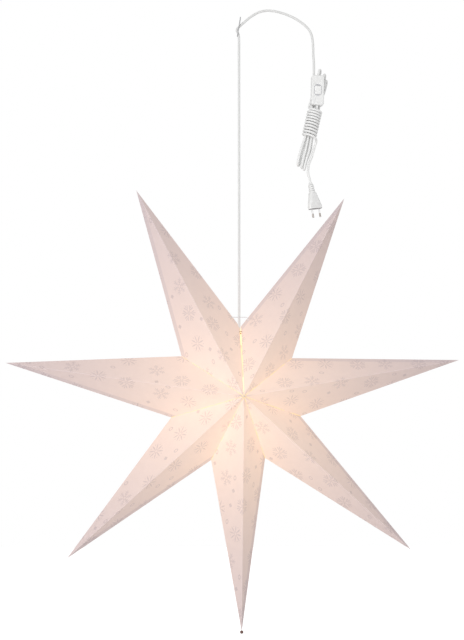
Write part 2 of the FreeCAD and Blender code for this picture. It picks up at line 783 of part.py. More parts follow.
def build_plate(lacing):
    body = doc.addObject("PartDesign::Body", "plate_blank")
    shift = ("0", "eye_from_end - plate_length / 2")
    outline = rounded_sketch(body, "plate_outline", "plate_width", "plate_length", "plate_width / 3",
                             "-plate_thickness / 2", shift)
    pad(body, "plate_pad", outline, "plate_thickness")
    eye = primitive("Cylinder", "plate_eye", ("0", "-plate_thickness", "0"), ALONG_Y,
                    Radius="eye_radius", Height="2 * plate_thickness")
    drilled = cut("plate_drilled", body, eye)
    edge_on = FreeCAD.Placement(V(), FreeCAD.Rotation(UP, 90))
    drilled.Placement = EYE_PLACE * edge_on
    node(cut("hook_plate", drilled, feature("plate_lacing", lacing)))


# ------------------------------------------------------------------ inline switch
def build_switch():
    inner_w = "switch_width - 2 * switch_wall"
    inner_l = "switch_length - 2 * switch_wall"
    front_y = "switch_depth / 2"
    corner = "switch_corner"

    front = doc.addObject("PartDesign::Body", "front_blank")
    outline = rounded_sketch(front, "front_outline", "switch_width", "switch_length", corner,
                             front_y + " - switch_split")
    pad(front, "front_pad", outline, "switch_split")
    face_y = -size("switch_depth") / 2
    round_edges(front, "front_round", "switch_wall", lambda edge: abs(edge.BoundBox.YMax - face_y) < 0.01)
    hollow = rounded_sketch(front, "front_hollow", inner_w, inner_l, corner + " - switch_wall",
                            front_y + " - switch_split")
    pocket(front, "front_pocket", hollow, "switch_split - switch_wall")
    window = oval_prism("rocker_window", "rocker_width + 2 * rocker_play",
                        "2 * rocker_radius + 2 * rocker_play", "rocker_width / 2 - 0.4 + rocker_play")
    pivot_y = "rocker_depth - switch_depth / 2 - 1.3"
    lugs = []
    for side in (-1, 1):
        lug_x = "%d * (rocker_width / 2 + rocker_play + 1.2) - 1.2" % side
        lugs.append(primitive("Box", "pivot_lug_%d" % (side + 2), (lug_x, "-switch_depth / 2 + 1", "-3"),
                              Length="2.4", Width=pivot_y + " + switch_depth / 2 + 2", Height="6"))
    with_lugs = fuse("front_with_lugs", front, *lugs)
    pin_bore = primitive("Cylinder", "pivot_bore", ("-pivot_length / 2", pivot_y, "0"), ALONG_X,
                         Radius="pivot_radius", Height="pivot_length")
    node(cut("switch_front", with_lugs, window, pin_bore, *cord_bores("front")), SWITCH_PLACE)

    back = doc.addObject("PartDesign::Body", "back_blank")
    outline = rounded_sketch(back, "back_outline", "switch_width", "switch_length", corner,
                             "-switch_depth / 2")
    pad(back, "back_pad", outline, "switch_depth - switch_split")
    rear_y = size("switch_depth") / 2
    round_edges(back, "back_round", "switch_wall", lambda edge: abs(edge.BoundBox.YMin - rear_y) < 0.01)
    hollow = rounded_sketch(back, "back_hollow", inner_w, inner_l, corner + " - switch_wall",
                            "-switch_depth / 2 + switch_wall")
    pocket(back, "back_pocket", hollow, "switch_depth")
    bosses, bores = [], []
    for way, z in screw_heights():
        bosses.append(primitive("Cylinder", "screw_boss_%d" % (way + 2), ("0", "switch_depth / 2 - switch_wall"
                                " - boss_height", z), ALONG_Y, Radius="switch_screw + 1.2",
                                Height="boss_height + switch_wall / 2"))
        bores.append(primitive("Cylinder", "screw_recess_%d" % (way + 2), ("0", "switch_depth / 2 -"
                               " screw_head", z), ALONG_Y, Radius="switch_screw", Height="2 * screw_head"))
    hollowed = fuse("back_with_bosses", back, *bosses)
    node(cut("switch_back", hollowed, *bores, *cord_bores("back")), SWITCH_PLACE)
    build_rocker(pivot_y)
    build_switch_inside()


def oval_prism(name, width, length, corner):
    """A prism with an oval outline, right through the front shell."""
    body = doc.addObject("PartDesign::Body", name)
    outline = rounded_sketch(body, name + "_sketch", width, length, corner, "-switch_wall")
    pad(body, name + "_pad", outline, "switch_depth")
    return body


def cord_bores(shell):
    """The two holes for the cords, through a shell's end walls and their rounded corners."""
    length = "2 * switch_wall + 2"
    lower = primitive("Cylinder", shell + "_lower_bore", ("0", "0", "-switch_length / 2 - 1"),
                      Radius="cord_thickness / 2", Height=length)
    upper = primitive("Cylinder", shell + "_upper_bore",
                      ("switch_entry", "0", "switch_length / 2 - 2 * switch_wall - 1"),
                      Radius="cord_thickness / 2", Height=length)
    return lower, upper


def screw_heights():
    return ((-1, "6 - switch_length / 2"), (1, "switch_length / 2 - 6"))


def build_rocker(pivot_y):
    """An oval, round-backed key on its pin; one half of its hollow face is pressed in."""
    round_back = primitive("Cylinder", "rocker_back", ("-rocker_width / 2", pivot_y, "0"), ALONG_X,
                           Radius="rocker_radius", Height="rocker_width")
    outline = oval_prism("rocker_outline", "rocker_width", "2 * rocker_radius", "rocker_width / 2 - 0.4")
    drum = doc.addObject("Part::MultiCommon", "rocker_drum")
    drum.Shapes = [round_back, outline]
    rest = FreeCAD.Rotation(RIGHT, size("rocker_throw") / 2)
    keep = []
    for way, label in ((1, "upper"), (-1, "lower")):
        slope = FreeCAD.Rotation(RIGHT, way * size("rocker_throw") / 2)
        base = V(0, size("rocker_depth") - size("switch_depth") / 2 - 1.3, 0)
        block = Part.makeBox(60, 60, 60, V(-30, -60, 0 if way > 0 else -60))
        block.translate(V(0, -size("rocker_depth") + 0.6, 0))
        block.Placement = FreeCAD.Placement(base, rest * slope) * block.Placement
        keep.append(feature("rocker_face_" + label, block))
    rear = primitive("Box", "rocker_rear", ("-rocker_width", pivot_y + " + 1.6", "-rocker_radius * 2"),
                     Length="2 * rocker_width", Width="40", Height="4 * rocker_radius")
    bore = primitive("Cylinder", "rocker_bore", ("-rocker_width", pivot_y, "0"), ALONG_X,
                     Radius="pivot_radius + pivot_play", Height="2 * rocker_width")
    node(cut("switch_rocker", drum, keep[0], keep[1], rear, bore), SWITCH_PLACE)
    pin = primitive("Cylinder", "pin_blank", ("-pivot_length / 2", pivot_y, "0"), ALONG_X,
                    Radius="pivot_radius", Height="pivot_length")
    placed("switch_pivot_pin", pin, SWITCH_PLACE)


def build_switch_inside():
    """Contact blade, fixed contact, terminals, cord clamps and the two screws of the back."""
    floor_y = "switch_depth / 2 - switch_wall"
    blade = primitive("Box", "blade_blank", ("-4", floor_y + " - 2.6", "-9"), Length="8",
                      Width="0.6", Height="18")
    foot = primitive("Box", "blade_foot", ("-4", floor_y + " - 2.6", "-9"), Length="8",
                     Width="2.6", Height="2")
    node(fuse("switch_contact_blade", blade, foot), SWITCH_PLACE)
    post = primitive("Box", "post_blank", ("-3", floor_y + " - 1.4", "6"), Length="6",
                     Width="1.4", Height="5")
    placed("switch_fixed_contact", post, SWITCH_PLACE)
    blocks = []
    for k, (x, z) in enumerate(((-6, 17), (4, 17), (-6, -23), (4, -23))):
        blocks.append(primitive("Box", "switch_block_%d" % k, ("%d - 1.5" % x, floor_y + " - 5", str(z)),
                                Length="4", Width="5", Height="6"))
    node(fuse("switch_terminals", *blocks), SWITCH_PLACE)
    screws = []
    for way, z in screw_heights():
        screws.append(primitive("Cylinder", "back_screw_%d" % (way + 2), ("0", "switch_depth / 2 - screw_head",
                                z), ALONG_Y, Radius="switch_screw", Height="screw_head - 0.2"))
    node(fuse("switch_screw_heads", *screws), SWITCH_PLACE)
    inner_end = size("switch_length") / 2 - size("cord_inside") / 2
    upper = lead_pair(V(size("switch_entry"), 0, inner_end), [V(x, 2.6, 23) for x in (-5.5, 4.5)])
    lower = lead_pair(V(0, 0, -inner_end), [V(x, 2.6, -23) for x in (-5.5, 4.5)])
    node(feature("switch_leads", Part.makeCompound([upper, lower])), SWITCH_PLACE)


# ------------------------------------------------------------------ hank
def hank_knots():
    """(point, direction) knots of the hank in its own frame: strands, loops and the binding.

    The frame's x runs across the hank, y runs to the back and z runs up along it; z = 0 is the
    top of the binding.
    """
    step = size("strand_step")
    row = step * math.sqrt(3) / 4
    front_cols = [step * (k - 1) - step / 4 for k in range(3)]
    back_cols = [x + step / 2 for x in front_cols]
    radius, pitch = size("bind_radius"), size("bind_pitch")
    turns = 9.25
    bind_top = -2.4
    low_end = bind_top - turns * pitch - 2
    lift, lift_from, lift_to = 5.3, -8, 13      # the strands stand back behind the switch
    # left to right: where each pair bends at the bottom and at the top (x, z)
    low_front = (-12.6, -2.0, 4.8)
    low_back = (-6.6, 1.0, 7.0)
    low_z = (-127.8, -131.4, -134.6)
    low_r, top_r = 6.5, 6.0
    to_hank = HANK_PLACE.inverse()
    inside = size("cord_inside") / 2
    exit_point = to_hank.multVec(SWITCH_PLACE.multVec(V(0, 0, inside - size("switch_length") / 2)))
    exit_way = to_hank.Rotation.multVec(SWITCH_PLACE.Rotation.multVec(DOWN))
    knots = [(exit_point, exit_way),
             (exit_point + exit_way * (inside + size("cord_thickness")), exit_way),
             (V(front_cols[2] - 0.2, -row - 2.4, -6), V(0.12, 0.3, -1)),
             (V(front_cols[2], -row, -18), DOWN)]
    tops = {2: (9.6, 66.5), 1: (1.5, 79.5), 0: (-12.6, 88.0)}
    for col in (2, 1, 0):
        front_x, back_x = front_cols[col], back_cols[col]
        knots.append((V(front_x, -row, low_end), DOWN))
        knots.append((V(low_front[col], -low_r, low_z[col]), DOWN))
        knots.append((V(low_back[col], low_r, low_z[col]), UP))
        knots.append((V(back_x, row, low_end), UP))
        knots.append((V(back_x, row, lift_from), UP))
        knots.append((V(back_x, row + lift, lift_to), UP))
        top_x, top_z = tops[col]
        front_y = -row + lift
        knots.append((V(top_x, front_y + 2 * top_r, top_z), UP))
        knots.append((V(top_x - 1.5, front_y, top_z), DOWN))
        if col:
            next_x = front_cols[col - 1]
            knots.append((V(next_x, front_y, lift_to), DOWN))
            knots.append((V(next_x, -row, lift_from), DOWN))
    knots.append((V(-14.2, 4.0, lift_to + 1), DOWN))
    # the binding: quarter turns down round the strands, from the left side forward
    for quarter in range(int(turns * 4) + 1):
        angle = math.pi + quarter * math.pi / 2
        spot = V(radius * math.cos(angle), radius * math.sin(angle), bind_top - quarter * pitch / 4)
        way = V(-math.sin(angle), math.cos(angle), -pitch / (2 * math.pi * radius))
        knots.append((spot, way))
    knots += [(V(19, -1, -70), V(0, 0.6, -0.8)), (V(17.2, 1.5, -86), V(0, 0, -1)),
              (V(16.6, 1, -106), V(-0.1, 0, -1)), (V(13.5, 0, -124), V(-0.02, 0, -1))]
    last_point, last_way = knots[-1]
    last_way = V(last_way).normalize()
    knots.append((last_point + last_way * size("cord_thickness"), last_way))
    return knots


def build_hank():
    diameter = size("cord_thickness")
    wire = knot_path(hank_knots())
    print("hank: %d arcs and runs, length %.0f" % (len(wire.Edges), wire.Length))
    print("   least gap to itself %.2f" % least_gap(wire, diameter))
    radii = [edge.Curve.Radius for edge in wire.Edges if hasattr(edge.Curve, "Radius")]
    print("   least radius %.1f" % min(radii))
    hank = feature("cord_hank", tube(wire, diameter))
    node(hank, HANK_PLACE)
    return hank_knots()[-1]


def build_tail(hank_end):
    """The short free stretch from the hank to the plug; its points are chosen by hand."""
    point, way = hank_end
    start = HANK_PLACE.multVec(point)
    start_way = HANK_PLACE.Rotation.multVec(V(way).normalize())
    top = PLUG_PLACE.multVec(V(0, 0, size("plug_length") + size("relief_length")))
    plug_up = PLUG_PLACE.Rotation.multVec(UP)
    route = [start, start + start_way * 9, V(153.6, 9, -347), top + plug_up * 8, top]
    node(feature("cord_tail", tube(corner_path(route, "cord to the plug"), size("cord_thickness"))))


# ------------------------------------------------------------------ plug
def plug_outline(width, flat, thickness, height):
    """A six-sided outline, pointed at both ends of its width."""
    half_w, half_f, half_t = width / 2, flat / 2, thickness / 2
    corners = [V(half_w, 0, height), V(half_f, half_t, height), V(-half_f, half_t, height),
               V(-half_w, 0, height), V(-half_f, -half_t, height), V(half_f, -half_t, height)]
    return Part.makePolygon(corners + corners[:1])


def build_plug():
    length, neck = size("plug_length"), size("plug_neck")
    face = plug_outline(size("plug_width"), size("plug_flat"), size("plug_thickness"), 0)
    shoulder = plug_outline(size("plug_width") - 1.5, size("plug_flat") - 1.5, size("plug_thickness"), 7)
    top = plug_outline(neck + 1.6, neck * 0.6, neck - 1.4, length)
    lower = Part.makeLoft([face, shoulder], True, True)
    upper = Part.makeLoft([shoulder, top], True, True)
    shape = lower.fuse(upper).removeSplitter()
    holes = []
    sleeve_radius = size("pin_thickness") / 2 - size("sleeve_step")
    for side in (-1, 1):
        x = side * size("pin_gap") / 2
        holes.append(Part.makeCylinder(sleeve_radius, 14, V(x, 0, -1), UP))
    node(feature("plug_body", shape.cut(holes)), PLUG_PLACE)

    relief = [primitive("Cone", "relief_core", ("0", "0", "plug_length"), Radius1="plug_neck / 2 - 1.4",
                        Radius2="relief_end / 2 - 0.6", Height="relief_length")]
    for k in range(5):
        share = (k + 0.5) / 5
        radius = "plug_neck / 2 - %.2f * (plug_neck - relief_end) / 2" % share
        relief.append(primitive("Cylinder", "relief_rib_%d" % k,
                                ("0", "0", "plug_length + relief_length * %.2f" % (share - 0.05)),
                                Radius=radius, Height="relief_length / 8"))
    node(fuse("plug_strain_relief", *relief), PLUG_PLACE)

    pins, sleeves = [], []
    for side in (-1, 1):
        x = "%d * pin_gap / 2" % side
        pins.append(primitive("Cylinder", "pin_rod_%d" % (side + 2), (x, "0", "-pin_length"),
                              Radius="pin_thickness / 2 - 0.4", Height="pin_length + 13"))
        pins.append(primitive("Cylinder", "pin_tip_%d" % (side + 2), (x, "0", "-pin_length"),
                              Radius="pin_thickness / 2", Height="pin_length - sleeve_length"))
        outer = primitive("Cylinder", "sleeve_outer_%d" % (side + 2), (x, "0", "-sleeve_length"),
                          Radius="pin_thickness / 2 - sleeve_step", Height="sleeve_length + 13")
        inner = primitive("Cylinder", "sleeve_inner_%d" % (side + 2), (x, "0", "-sleeve_length - 1"),
                          Radius="pin_thickness / 2 - 0.4", Height="sleeve_length + 15")
        sleeves.append(cut("sleeve_%d" % (side + 2), outer, inner))
    node(fuse("plug_pins", *pins), PLUG_PLACE)
    node(fuse("plug_pin_sleeves", *sleeves), PLUG_PLACE)


# ------------------------------------------------------------------ build, check, write

build_star()
build_holder()
build_bulb()
build_plate_and_cords()
build_switch()
build_tail(build_hank())
build_plug()
doc.recompute()


def check_and_write():
    for thing in doc.Objects:
        if "Invalid" in thing.State or "Error" in thing.State:
            raise RuntimeError("%s failed: %s" % (thing.Name, thing.State))
    os.makedirs("parts", exist_ok=True)
    for thing in NODES:
        shape = thing.Shape
        if shape.isNull() or not shape.isValid() or shape.Volume <= 0:
            raise RuntimeError(thing.Name + " has no valid solid")
        shape.exportStep("parts/%s.step" % thing.Label)
        box = shape.BoundBox
        print("%-24s solids %d volume %10.1f  x %8.1f %8.1f  y %7.1f %7.1f  z %8.1f %8.1f"
              % (thing.Label, len(shape.Solids), shape.Volume, box.XMin, box.XMax, box.YMin, box.YMax,
                 box.ZMin, box.ZMax))


check_and_write()
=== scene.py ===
# %% [markdown]
# # A folded paper star lamp
# A seven-pointed star of folded paper hangs on its own white cord and is lit from inside. The
# cord runs up through a small plate with a hanging eye, bends over in an arch to an inline
# switch, and ends in a bound hank and a flat plug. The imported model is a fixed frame: each piece
# made here goes where its solid is, and the solids that stay get a better finish.

import json
import math

import bpy
from mathutils import Matrix, Vector

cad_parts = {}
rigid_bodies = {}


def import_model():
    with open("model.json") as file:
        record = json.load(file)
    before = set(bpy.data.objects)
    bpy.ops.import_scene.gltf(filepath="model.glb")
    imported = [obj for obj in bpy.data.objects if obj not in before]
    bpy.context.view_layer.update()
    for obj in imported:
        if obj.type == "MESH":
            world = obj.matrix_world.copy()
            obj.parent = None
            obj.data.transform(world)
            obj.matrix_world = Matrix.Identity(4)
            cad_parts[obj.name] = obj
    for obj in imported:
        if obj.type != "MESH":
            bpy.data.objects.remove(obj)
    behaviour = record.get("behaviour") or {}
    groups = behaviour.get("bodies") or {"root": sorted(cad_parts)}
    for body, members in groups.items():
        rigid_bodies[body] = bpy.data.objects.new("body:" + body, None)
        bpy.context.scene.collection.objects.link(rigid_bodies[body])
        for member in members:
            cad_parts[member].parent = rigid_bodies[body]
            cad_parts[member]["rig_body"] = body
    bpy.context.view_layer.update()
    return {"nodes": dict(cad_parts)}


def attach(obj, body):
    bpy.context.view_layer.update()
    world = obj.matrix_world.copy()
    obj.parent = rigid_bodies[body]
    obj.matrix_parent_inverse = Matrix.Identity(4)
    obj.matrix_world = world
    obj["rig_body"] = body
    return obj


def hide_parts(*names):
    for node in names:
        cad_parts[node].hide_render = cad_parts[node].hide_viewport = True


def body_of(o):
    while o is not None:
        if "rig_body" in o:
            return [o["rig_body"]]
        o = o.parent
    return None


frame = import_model()
nodes = frame["nodes"]
MM = 0.001


def point(x, y, z):
    """A place given in millimetres."""
    return Vector((x, y, z)) * MM


# %% [markdown]
# ## Camera
# The photograph was taken from a long way off, a little to the left of the star's face and a
# little below it. A long lens from 3.5 m keeps the rays' proportions. The longer side of the
# picture is its height, so the sensor's 36 mm stand for the height.

# %% Camera
bpy.ops.object.camera_add(location=(-0.3824, -3.4618, -1.0475))
camera = bpy.context.object
camera.name = "camera"
look = Vector((0.10396, 0.98907, 0.10453))
camera.rotation_euler = look.to_track_quat("-Z", "Y").to_euler()
camera.data.sensor_width = 36
camera.data.lens = 89.09
bpy.context.scene.camera = camera
print("camera", camera.data.lens, "mm lens")

# %% [markdown]
# ## Small helpers for node trees
# Every finish is made of shader nodes. These helpers add a node, feed its sockets with either a
# plain number or another node's output, and return what comes out, so that a material reads like
# a short sum.

# %% Node helpers
def feed(tree, socket, value):
    """Link another node's output to a socket, or set it to a plain value."""
    if isinstance(value, bpy.types.NodeSocket):
        tree.links.new(value, socket)
    else:
        socket.default_value = value


def math_node(tree, operation, *values):
    node = tree.nodes.new("ShaderNodeMath")
    node.operation = operation
    for socket, value in zip(node.inputs, values):
        feed(tree, socket, value)
    return node.outputs[0]


def vector_node(tree, operation, *values, out="Vector"):
    node = tree.nodes.new("ShaderNodeVectorMath")
    node.operation = operation
    for socket, value in zip(node.inputs, values):
        feed(tree, socket, value)
    return node.outputs[out]


def step_between(tree, value, low, high, to_low=0.0, to_high=1.0):
    """A soft step from to_low to to_high as the value goes from low to high."""
    node = tree.nodes.new("ShaderNodeMapRange")
    node.interpolation_type = "SMOOTHSTEP"
    feed(tree, node.inputs["Value"], value)
    feed(tree, node.inputs["From Min"], low)
    feed(tree, node.inputs["From Max"], high)
    feed(tree, node.inputs["To Min"], to_low)
    feed(tree, node.inputs["To Max"], to_high)
    return node.outputs["Result"]


def blend_colour(tree, share, first, second, kind="MIX"):
    node = tree.nodes.new("ShaderNodeMix")
    node.data_type = "RGBA"
    node.blend_type = kind
    feed(tree, node.inputs[0], share)
    feed(tree, node.inputs[6], first)
    feed(tree, node.inputs[7], second)
    return node.outputs[2]


def noise(tree, place, scale, detail=2.0, rough=0.5):
    node = tree.nodes.new("ShaderNodeTexNoise")
    feed(tree, node.inputs["Vector"], place)
    node.inputs["Scale"].default_value = scale
    node.inputs["Detail"].default_value = detail
    node.inputs["Roughness"].default_value = rough
    return node.outputs["Fac"]


def new_group(name, inputs, outputs):
    """An empty node group with named sockets; returns its tree, its inputs and its output node."""
    tree = bpy.data.node_groups.new(name, "ShaderNodeTree")
    for label, kind, value in inputs:
        socket = tree.interface.new_socket(label, in_out="INPUT", socket_type=kind)
        if value is not None:
            socket.default_value = value
    for label, kind in outputs:
        tree.interface.new_socket(label, in_out="OUTPUT", socket_type=kind)
    return tree, tree.nodes.new("NodeGroupInput").outputs, tree.nodes.new("NodeGroupOutput").inputs


def use_group(tree, group, **values):
    node = tree.nodes.new("ShaderNodeGroup")
    node.node_tree = group
    for label, value in values.items():
        feed(tree, node.inputs[label.replace("_", " ")], value)
    return node.outputs


def new_material(name):
    """A fresh material; returns it, its tree and its Principled shader."""
    material = bpy.data.materials.new(name)
    material.use_nodes = True
    tree = material.node_tree
    return material, tree, tree.nodes["Principled BSDF"]


def object_place(tree):
    return tree.nodes.new("ShaderNodeTexCoord").outputs["Object"]


def bump(tree, height, distance, strength=1.0):
    node = tree.nodes.new("ShaderNodeBump")
    node.inputs["Distance"].default_value = distance
    node.inputs["Strength"].default_value = strength
    feed(tree, node.inputs["Height"], height)
    return node.outputs["Normal"]


FLOAT, VECTOR = "NodeSocketFloat", "NodeSocketVector"
print("node helpers ready")

# %% [markdown]
# ## Moulded plastic, as a node group
# Cord sheath, switch, plug and plate are all moulded white plastic. What they share is a slight
# unevenness of tone, a roughness that varies over the surface and a very fine grain. One group
# makes those three, and each material gives it its own scale and strength.

# %% Moulded surface group
def make_moulded_group():
    tree, given, out = new_group(
        "moulded_surface",
        [("Place", VECTOR, None), ("Grain Scale", FLOAT, 2500.0), ("Unevenness", FLOAT, 0.03),
         ("Roughness", FLOAT, 0.4)],
        [("Tone", FLOAT), ("Roughness", FLOAT), ("Height", FLOAT)])
    broad = noise(tree, given["Place"], 45.0, 3.0)
    grain = tree.nodes.new("ShaderNodeTexNoise")
    feed(tree, grain.inputs["Vector"], given["Place"])
    feed(tree, grain.inputs["Scale"], given["Grain Scale"])
    grain.inputs["Detail"].default_value = 3.0
    spread = math_node(tree, "SUBTRACT", broad, 0.5)
    spread = math_node(tree, "MULTIPLY", spread, given["Unevenness"])
    feed(tree, out["Tone"], math_node(tree, "MULTIPLY_ADD", spread, 2.0, 1.0))
    rough = math_node(tree, "MULTIPLY_ADD", broad, 0.16, -0.08)
    feed(tree, out["Roughness"], math_node(tree, "ADD", given["Roughness"], rough))
    feed(tree, out["Height"], grain.outputs["Fac"])
    return tree


moulded_surface = make_moulded_group()


def plastic(name, colour, roughness=0.4, grain=2500.0, unevenness=0.03, relief=0.00002):
    """A moulded plastic in one colour."""
    material, tree, shader = new_material(name)
    surface = use_group(tree, moulded_surface, Place=object_place(tree), Grain_Scale=grain,
                        Unevenness=unevenness, Roughness=roughness)
    tint = tree.nodes.new("ShaderNodeVectorMath")
    tint.operation = "SCALE"
    tint.inputs[0].default_value = colour
    feed(tree, tint.inputs["Scale"], surface["Tone"])
    feed(tree, shader.inputs["Base Color"], tint.outputs[0])
    feed(tree, shader.inputs["Roughness"], surface["Roughness"])
    feed(tree, shader.inputs["Normal"], bump(tree, surface["Height"], relief))
    return material


cord_sheath = plastic("cord_sheath", (0.68, 0.68, 0.675), 0.42, 1800.0, 0.03, 0.000005)
spare_sheath = plastic("spare_sheath", (0.79, 0.79, 0.785), 0.42, 1800.0, 0.03, 0.000005)
print("plastics start with", cord_sheath.name)

# %% [markdown]
# ## The cord from the lamp holder to the switch
# The cord leaves the top of the lamp holder inside the star, runs straight up, is laced through
# two holes of the small plate, and springs over in one stiff arch to the switch. It is one smooth
# curve: a spline whose control points are the route's own corners, with a round bevel.

# %% Cord maker
def place_matrix(x, y, z, *turns):
    """A place in millimetres with turns in degrees about named axes, the first one outermost."""
    matrix = Matrix.Translation(point(x, y, z))
    for axis, degrees in turns:
        matrix = matrix @ Matrix.Rotation(math.radians(degrees), 4, axis)
    return matrix


SWITCH_PLACE = place_matrix(175.3, 0, -159.3, ("Y", 1.5))
HANK_PLACE = place_matrix(171.6, 9.6, -200.3, ("Y", 13.0))
PLUG_PLACE = place_matrix(170.6, 9.6, -428.1, ("Y", -10.5), ("Z", 22.0))
CORD_WIDTH = 0.0054


def round_cord(name, route, material):
    """A round cord along a smooth curve with the route's points, given in metres."""
    curve = bpy.data.curves.new(name, "CURVE")
    curve.dimensions = "3D"
    spline = curve.splines.new("NURBS")
    spline.points.add(len(route) - 1)
    for control, place in zip(spline.points, route):
        control.co = (*place, 1.0)
    spline.order_u = 3
    spline.use_endpoint_u = True
    spline.resolution_u = 10
    curve.bevel_depth = CORD_WIDTH / 2
    curve.bevel_resolution = 5
    curve.use_fill_caps = True
    cord = bpy.data.objects.new(name, curve)
    bpy.context.collection.objects.link(cord)
    curve.materials.append(material)
    return cord


def walked(cord):
    """Length of a cord along its smooth line."""
    line = cord.data.copy()
    line.bevel_depth = 0
    probe = bpy.data.objects.new("probe", line)
    mesh = bpy.data.meshes.new_from_object(probe)
    spots = [vertex.co.copy() for vertex in mesh.vertices]
    length = sum((after - here).length for here, after in zip(spots, spots[1:]))
    bpy.data.objects.remove(probe)
    bpy.data.curves.remove(line)
    bpy.data.meshes.remove(mesh)
    return length


entry = SWITCH_PLACE @ point(-8.85, 0, 28.3)
entry_way = SWITCH_PLACE.to_3x3() @ Vector((0, 0, 1))
lead_route = [point(*spot) for spot in (
    (-2.7, 0, -750), (-2.7, 0, -66), (-2.7, 0, -33.3), (-10.1, 0, -24.5), (4.5, 0, -10.2),
    (24.5, 0, 8), (46, 0, 21), (71, 0, 23.6), (99, 0, 17.6), (125, 0, 7), (147, 0, -7.5),
    (162, 0, -24.5), (166, 0, -50), (166.2, 0, -76))]
lead_route += [entry + entry_way * 0.028, entry]
lead = round_cord("lead", lead_route, cord_sheath)
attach(lead, "suspension")
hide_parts("cord_drop", "cord_arch")
print("lead", round(walked(lead), 3), "m")

# %% [markdown]
# ## The hank and the tail
# The spare cord below the switch is folded to and fro three times and bound with its own last
# turns. Each fold is a half turn of a tight coil, and the binding is nine turns round all the
# strands, so both are laid out by short loops; the strands between them need only a point or two.

# %% Hank route
STRAND_STEP, BIND_RADIUS, BIND_PITCH, BIND_TURNS, BIND_TOP = 6.4, 14.4, 6.6, 9.25, -2.4
ROW = STRAND_STEP * math.sqrt(3) / 4
FRONT_COLUMNS = [STRAND_STEP * (k - 1) - STRAND_STEP / 4 for k in range(3)]
BACK_COLUMNS = [x + STRAND_STEP / 2 for x in FRONT_COLUMNS]
LOW_END = BIND_TOP - BIND_TURNS * BIND_PITCH - 2
LIFT, LIFT_FROM, LIFT_TO = 5.3, -8, 13
PER_TURN = 12
SPREAD = 1 / math.cos(math.pi / PER_TURN)        # a spline runs this much inside its points


def fold(x_from, x_to, y_from, y_to, z, way):
    """Half a turn of the cord, from one strand over (way 1) or under (way -1) to the next."""
    half = Vector((x_to - x_from, y_to - y_from, 0)) / 2
    middle = Vector((x_from + x_to, y_from + y_to, 2 * z)) / 2
    up = Vector((0, 0, way * half.length))
    run_up = up * math.tan(math.pi / PER_TURN)
    spots = [middle - half - run_up]
    for k in range(PER_TURN // 2):
        angle = 2 * math.pi * (k + 0.5) / PER_TURN
        spots.append(middle - half * SPREAD * math.cos(angle) + up * SPREAD * math.sin(angle))
    return spots + [middle + half - run_up]


def hank_route():
    low_front, low_back = (-12.6, -2.0, 4.8), (-6.6, 1.0, 7.0)
    low_z = (-127.8, -131.4, -134.6)
    mid_front, mid_back = (-11.6, -1.2, 7.4), (-6.2, 3.4, 11.4)
    tops = {2: (13.2, 67.0), 1: (6.8, 80.0), 0: (-6.0, 88.0)}
    spots = [Vector((4.6, -ROW - 2.4, -6)), Vector((FRONT_COLUMNS[2], -ROW, -18))]
    for column in (2, 1, 0):
        front, back = FRONT_COLUMNS[column], BACK_COLUMNS[column]
        spots.append(Vector((front, -ROW, LOW_END)))
        spots.append(Vector((mid_front[column], -5.0, -94)))
        spots.append(Vector((low_front[column], -6.5, low_z[column] + 16)))
        spots += fold(low_front[column], low_back[column], -6.5, 6.5, low_z[column], -1)
        spots.append(Vector((low_back[column], 6.5, low_z[column] + 16)))
        spots.append(Vector((mid_back[column], 5.0, -94)))
        spots.append(Vector((back, ROW, LOW_END)))
        spots.append(Vector((back, ROW, LIFT_FROM)))
        spots.append(Vector((back, ROW + LIFT, LIFT_TO)))
        top_x, top_z = tops[column]
        near = -ROW + LIFT
        spots.append(Vector((top_x, near + 11, top_z - 14)))
        spots += fold(top_x, top_x - 4.5, near + 11, near, top_z, 1)
        spots.append(Vector((top_x - 4.5, near, top_z - 14)))
        if column:
            following = FRONT_COLUMNS[column - 1]
            spots.append(Vector((following, near, LIFT_TO)))
            spots.append(Vector((following, -ROW, LIFT_FROM)))
    spots += [Vector((-14.2, 4.0, LIFT_TO + 1)), Vector((-14.9, 3.2, 2))]
    for k in range(1, int(BIND_TURNS * PER_TURN) + 1):
        angle = math.pi + 2 * math.pi * k / PER_TURN
        turns = k / PER_TURN
        loosened = turns * (0.9 + 0.1 * turns / BIND_TURNS)      # the lower turns lie further apart
        spots.append(Vector((BIND_RADIUS * SPREAD * math.cos(angle),
                             BIND_RADIUS * SPREAD * math.sin(angle),
                             BIND_TOP - loosened * BIND_PITCH)))
    spots += [Vector(spot) for spot in ((12, -13.5, -65.5), (19, -1, -70), (17.2, 1.5, -86),
                                        (16.6, 1, -106), (13.5, 0, -124), (13.4, 0, -129.4))]
    return [HANK_PLACE @ (spot * MM) for spot in spots]


cut_end = SWITCH_PLACE @ point(0, 0, -28.3)
below_switch = SWITCH_PLACE @ point(0, 0, -39.7)
relief_top = PLUG_PLACE @ point(0, 0, 61)
above_relief = PLUG_PLACE @ point(0, 0, 69)
spare_route = [cut_end, below_switch] + hank_route() + [point(153.6, 9, -347), above_relief, relief_top]
spare = round_cord("spare_cord", spare_route, spare_sheath)
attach(spare, "suspension")
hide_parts("cord_hank", "cord_tail")
print("spare cord", round(walked(spare), 3), "m with", len(spare_route), "points")

# %% [markdown]
# ## Stage and light
# The background of the photograph is plain white, so the world shows white to the camera, and to
# rays that glossy and clear surfaces send out, while the object itself is lit at a plain level.
# One large soft lamp in front, a little to the left, gives the facets their two tones.

# %% World, floor and lamp
SHADE_LEVEL = 0.67                # light from all round, as the object itself gets it
BACKDROP_GREY = 0.6               # how bright the floor shows to the camera, next to white


def seen_directly(tree):
    """1 for rays from the camera and those that glossy or clear surfaces send out."""
    path = tree.nodes.new("ShaderNodeLightPath").outputs
    seen = math_node(tree, "MAXIMUM", path["Is Camera Ray"], path["Is Glossy Ray"])
    return math_node(tree, "MAXIMUM", seen, path["Is Transmission Ray"])


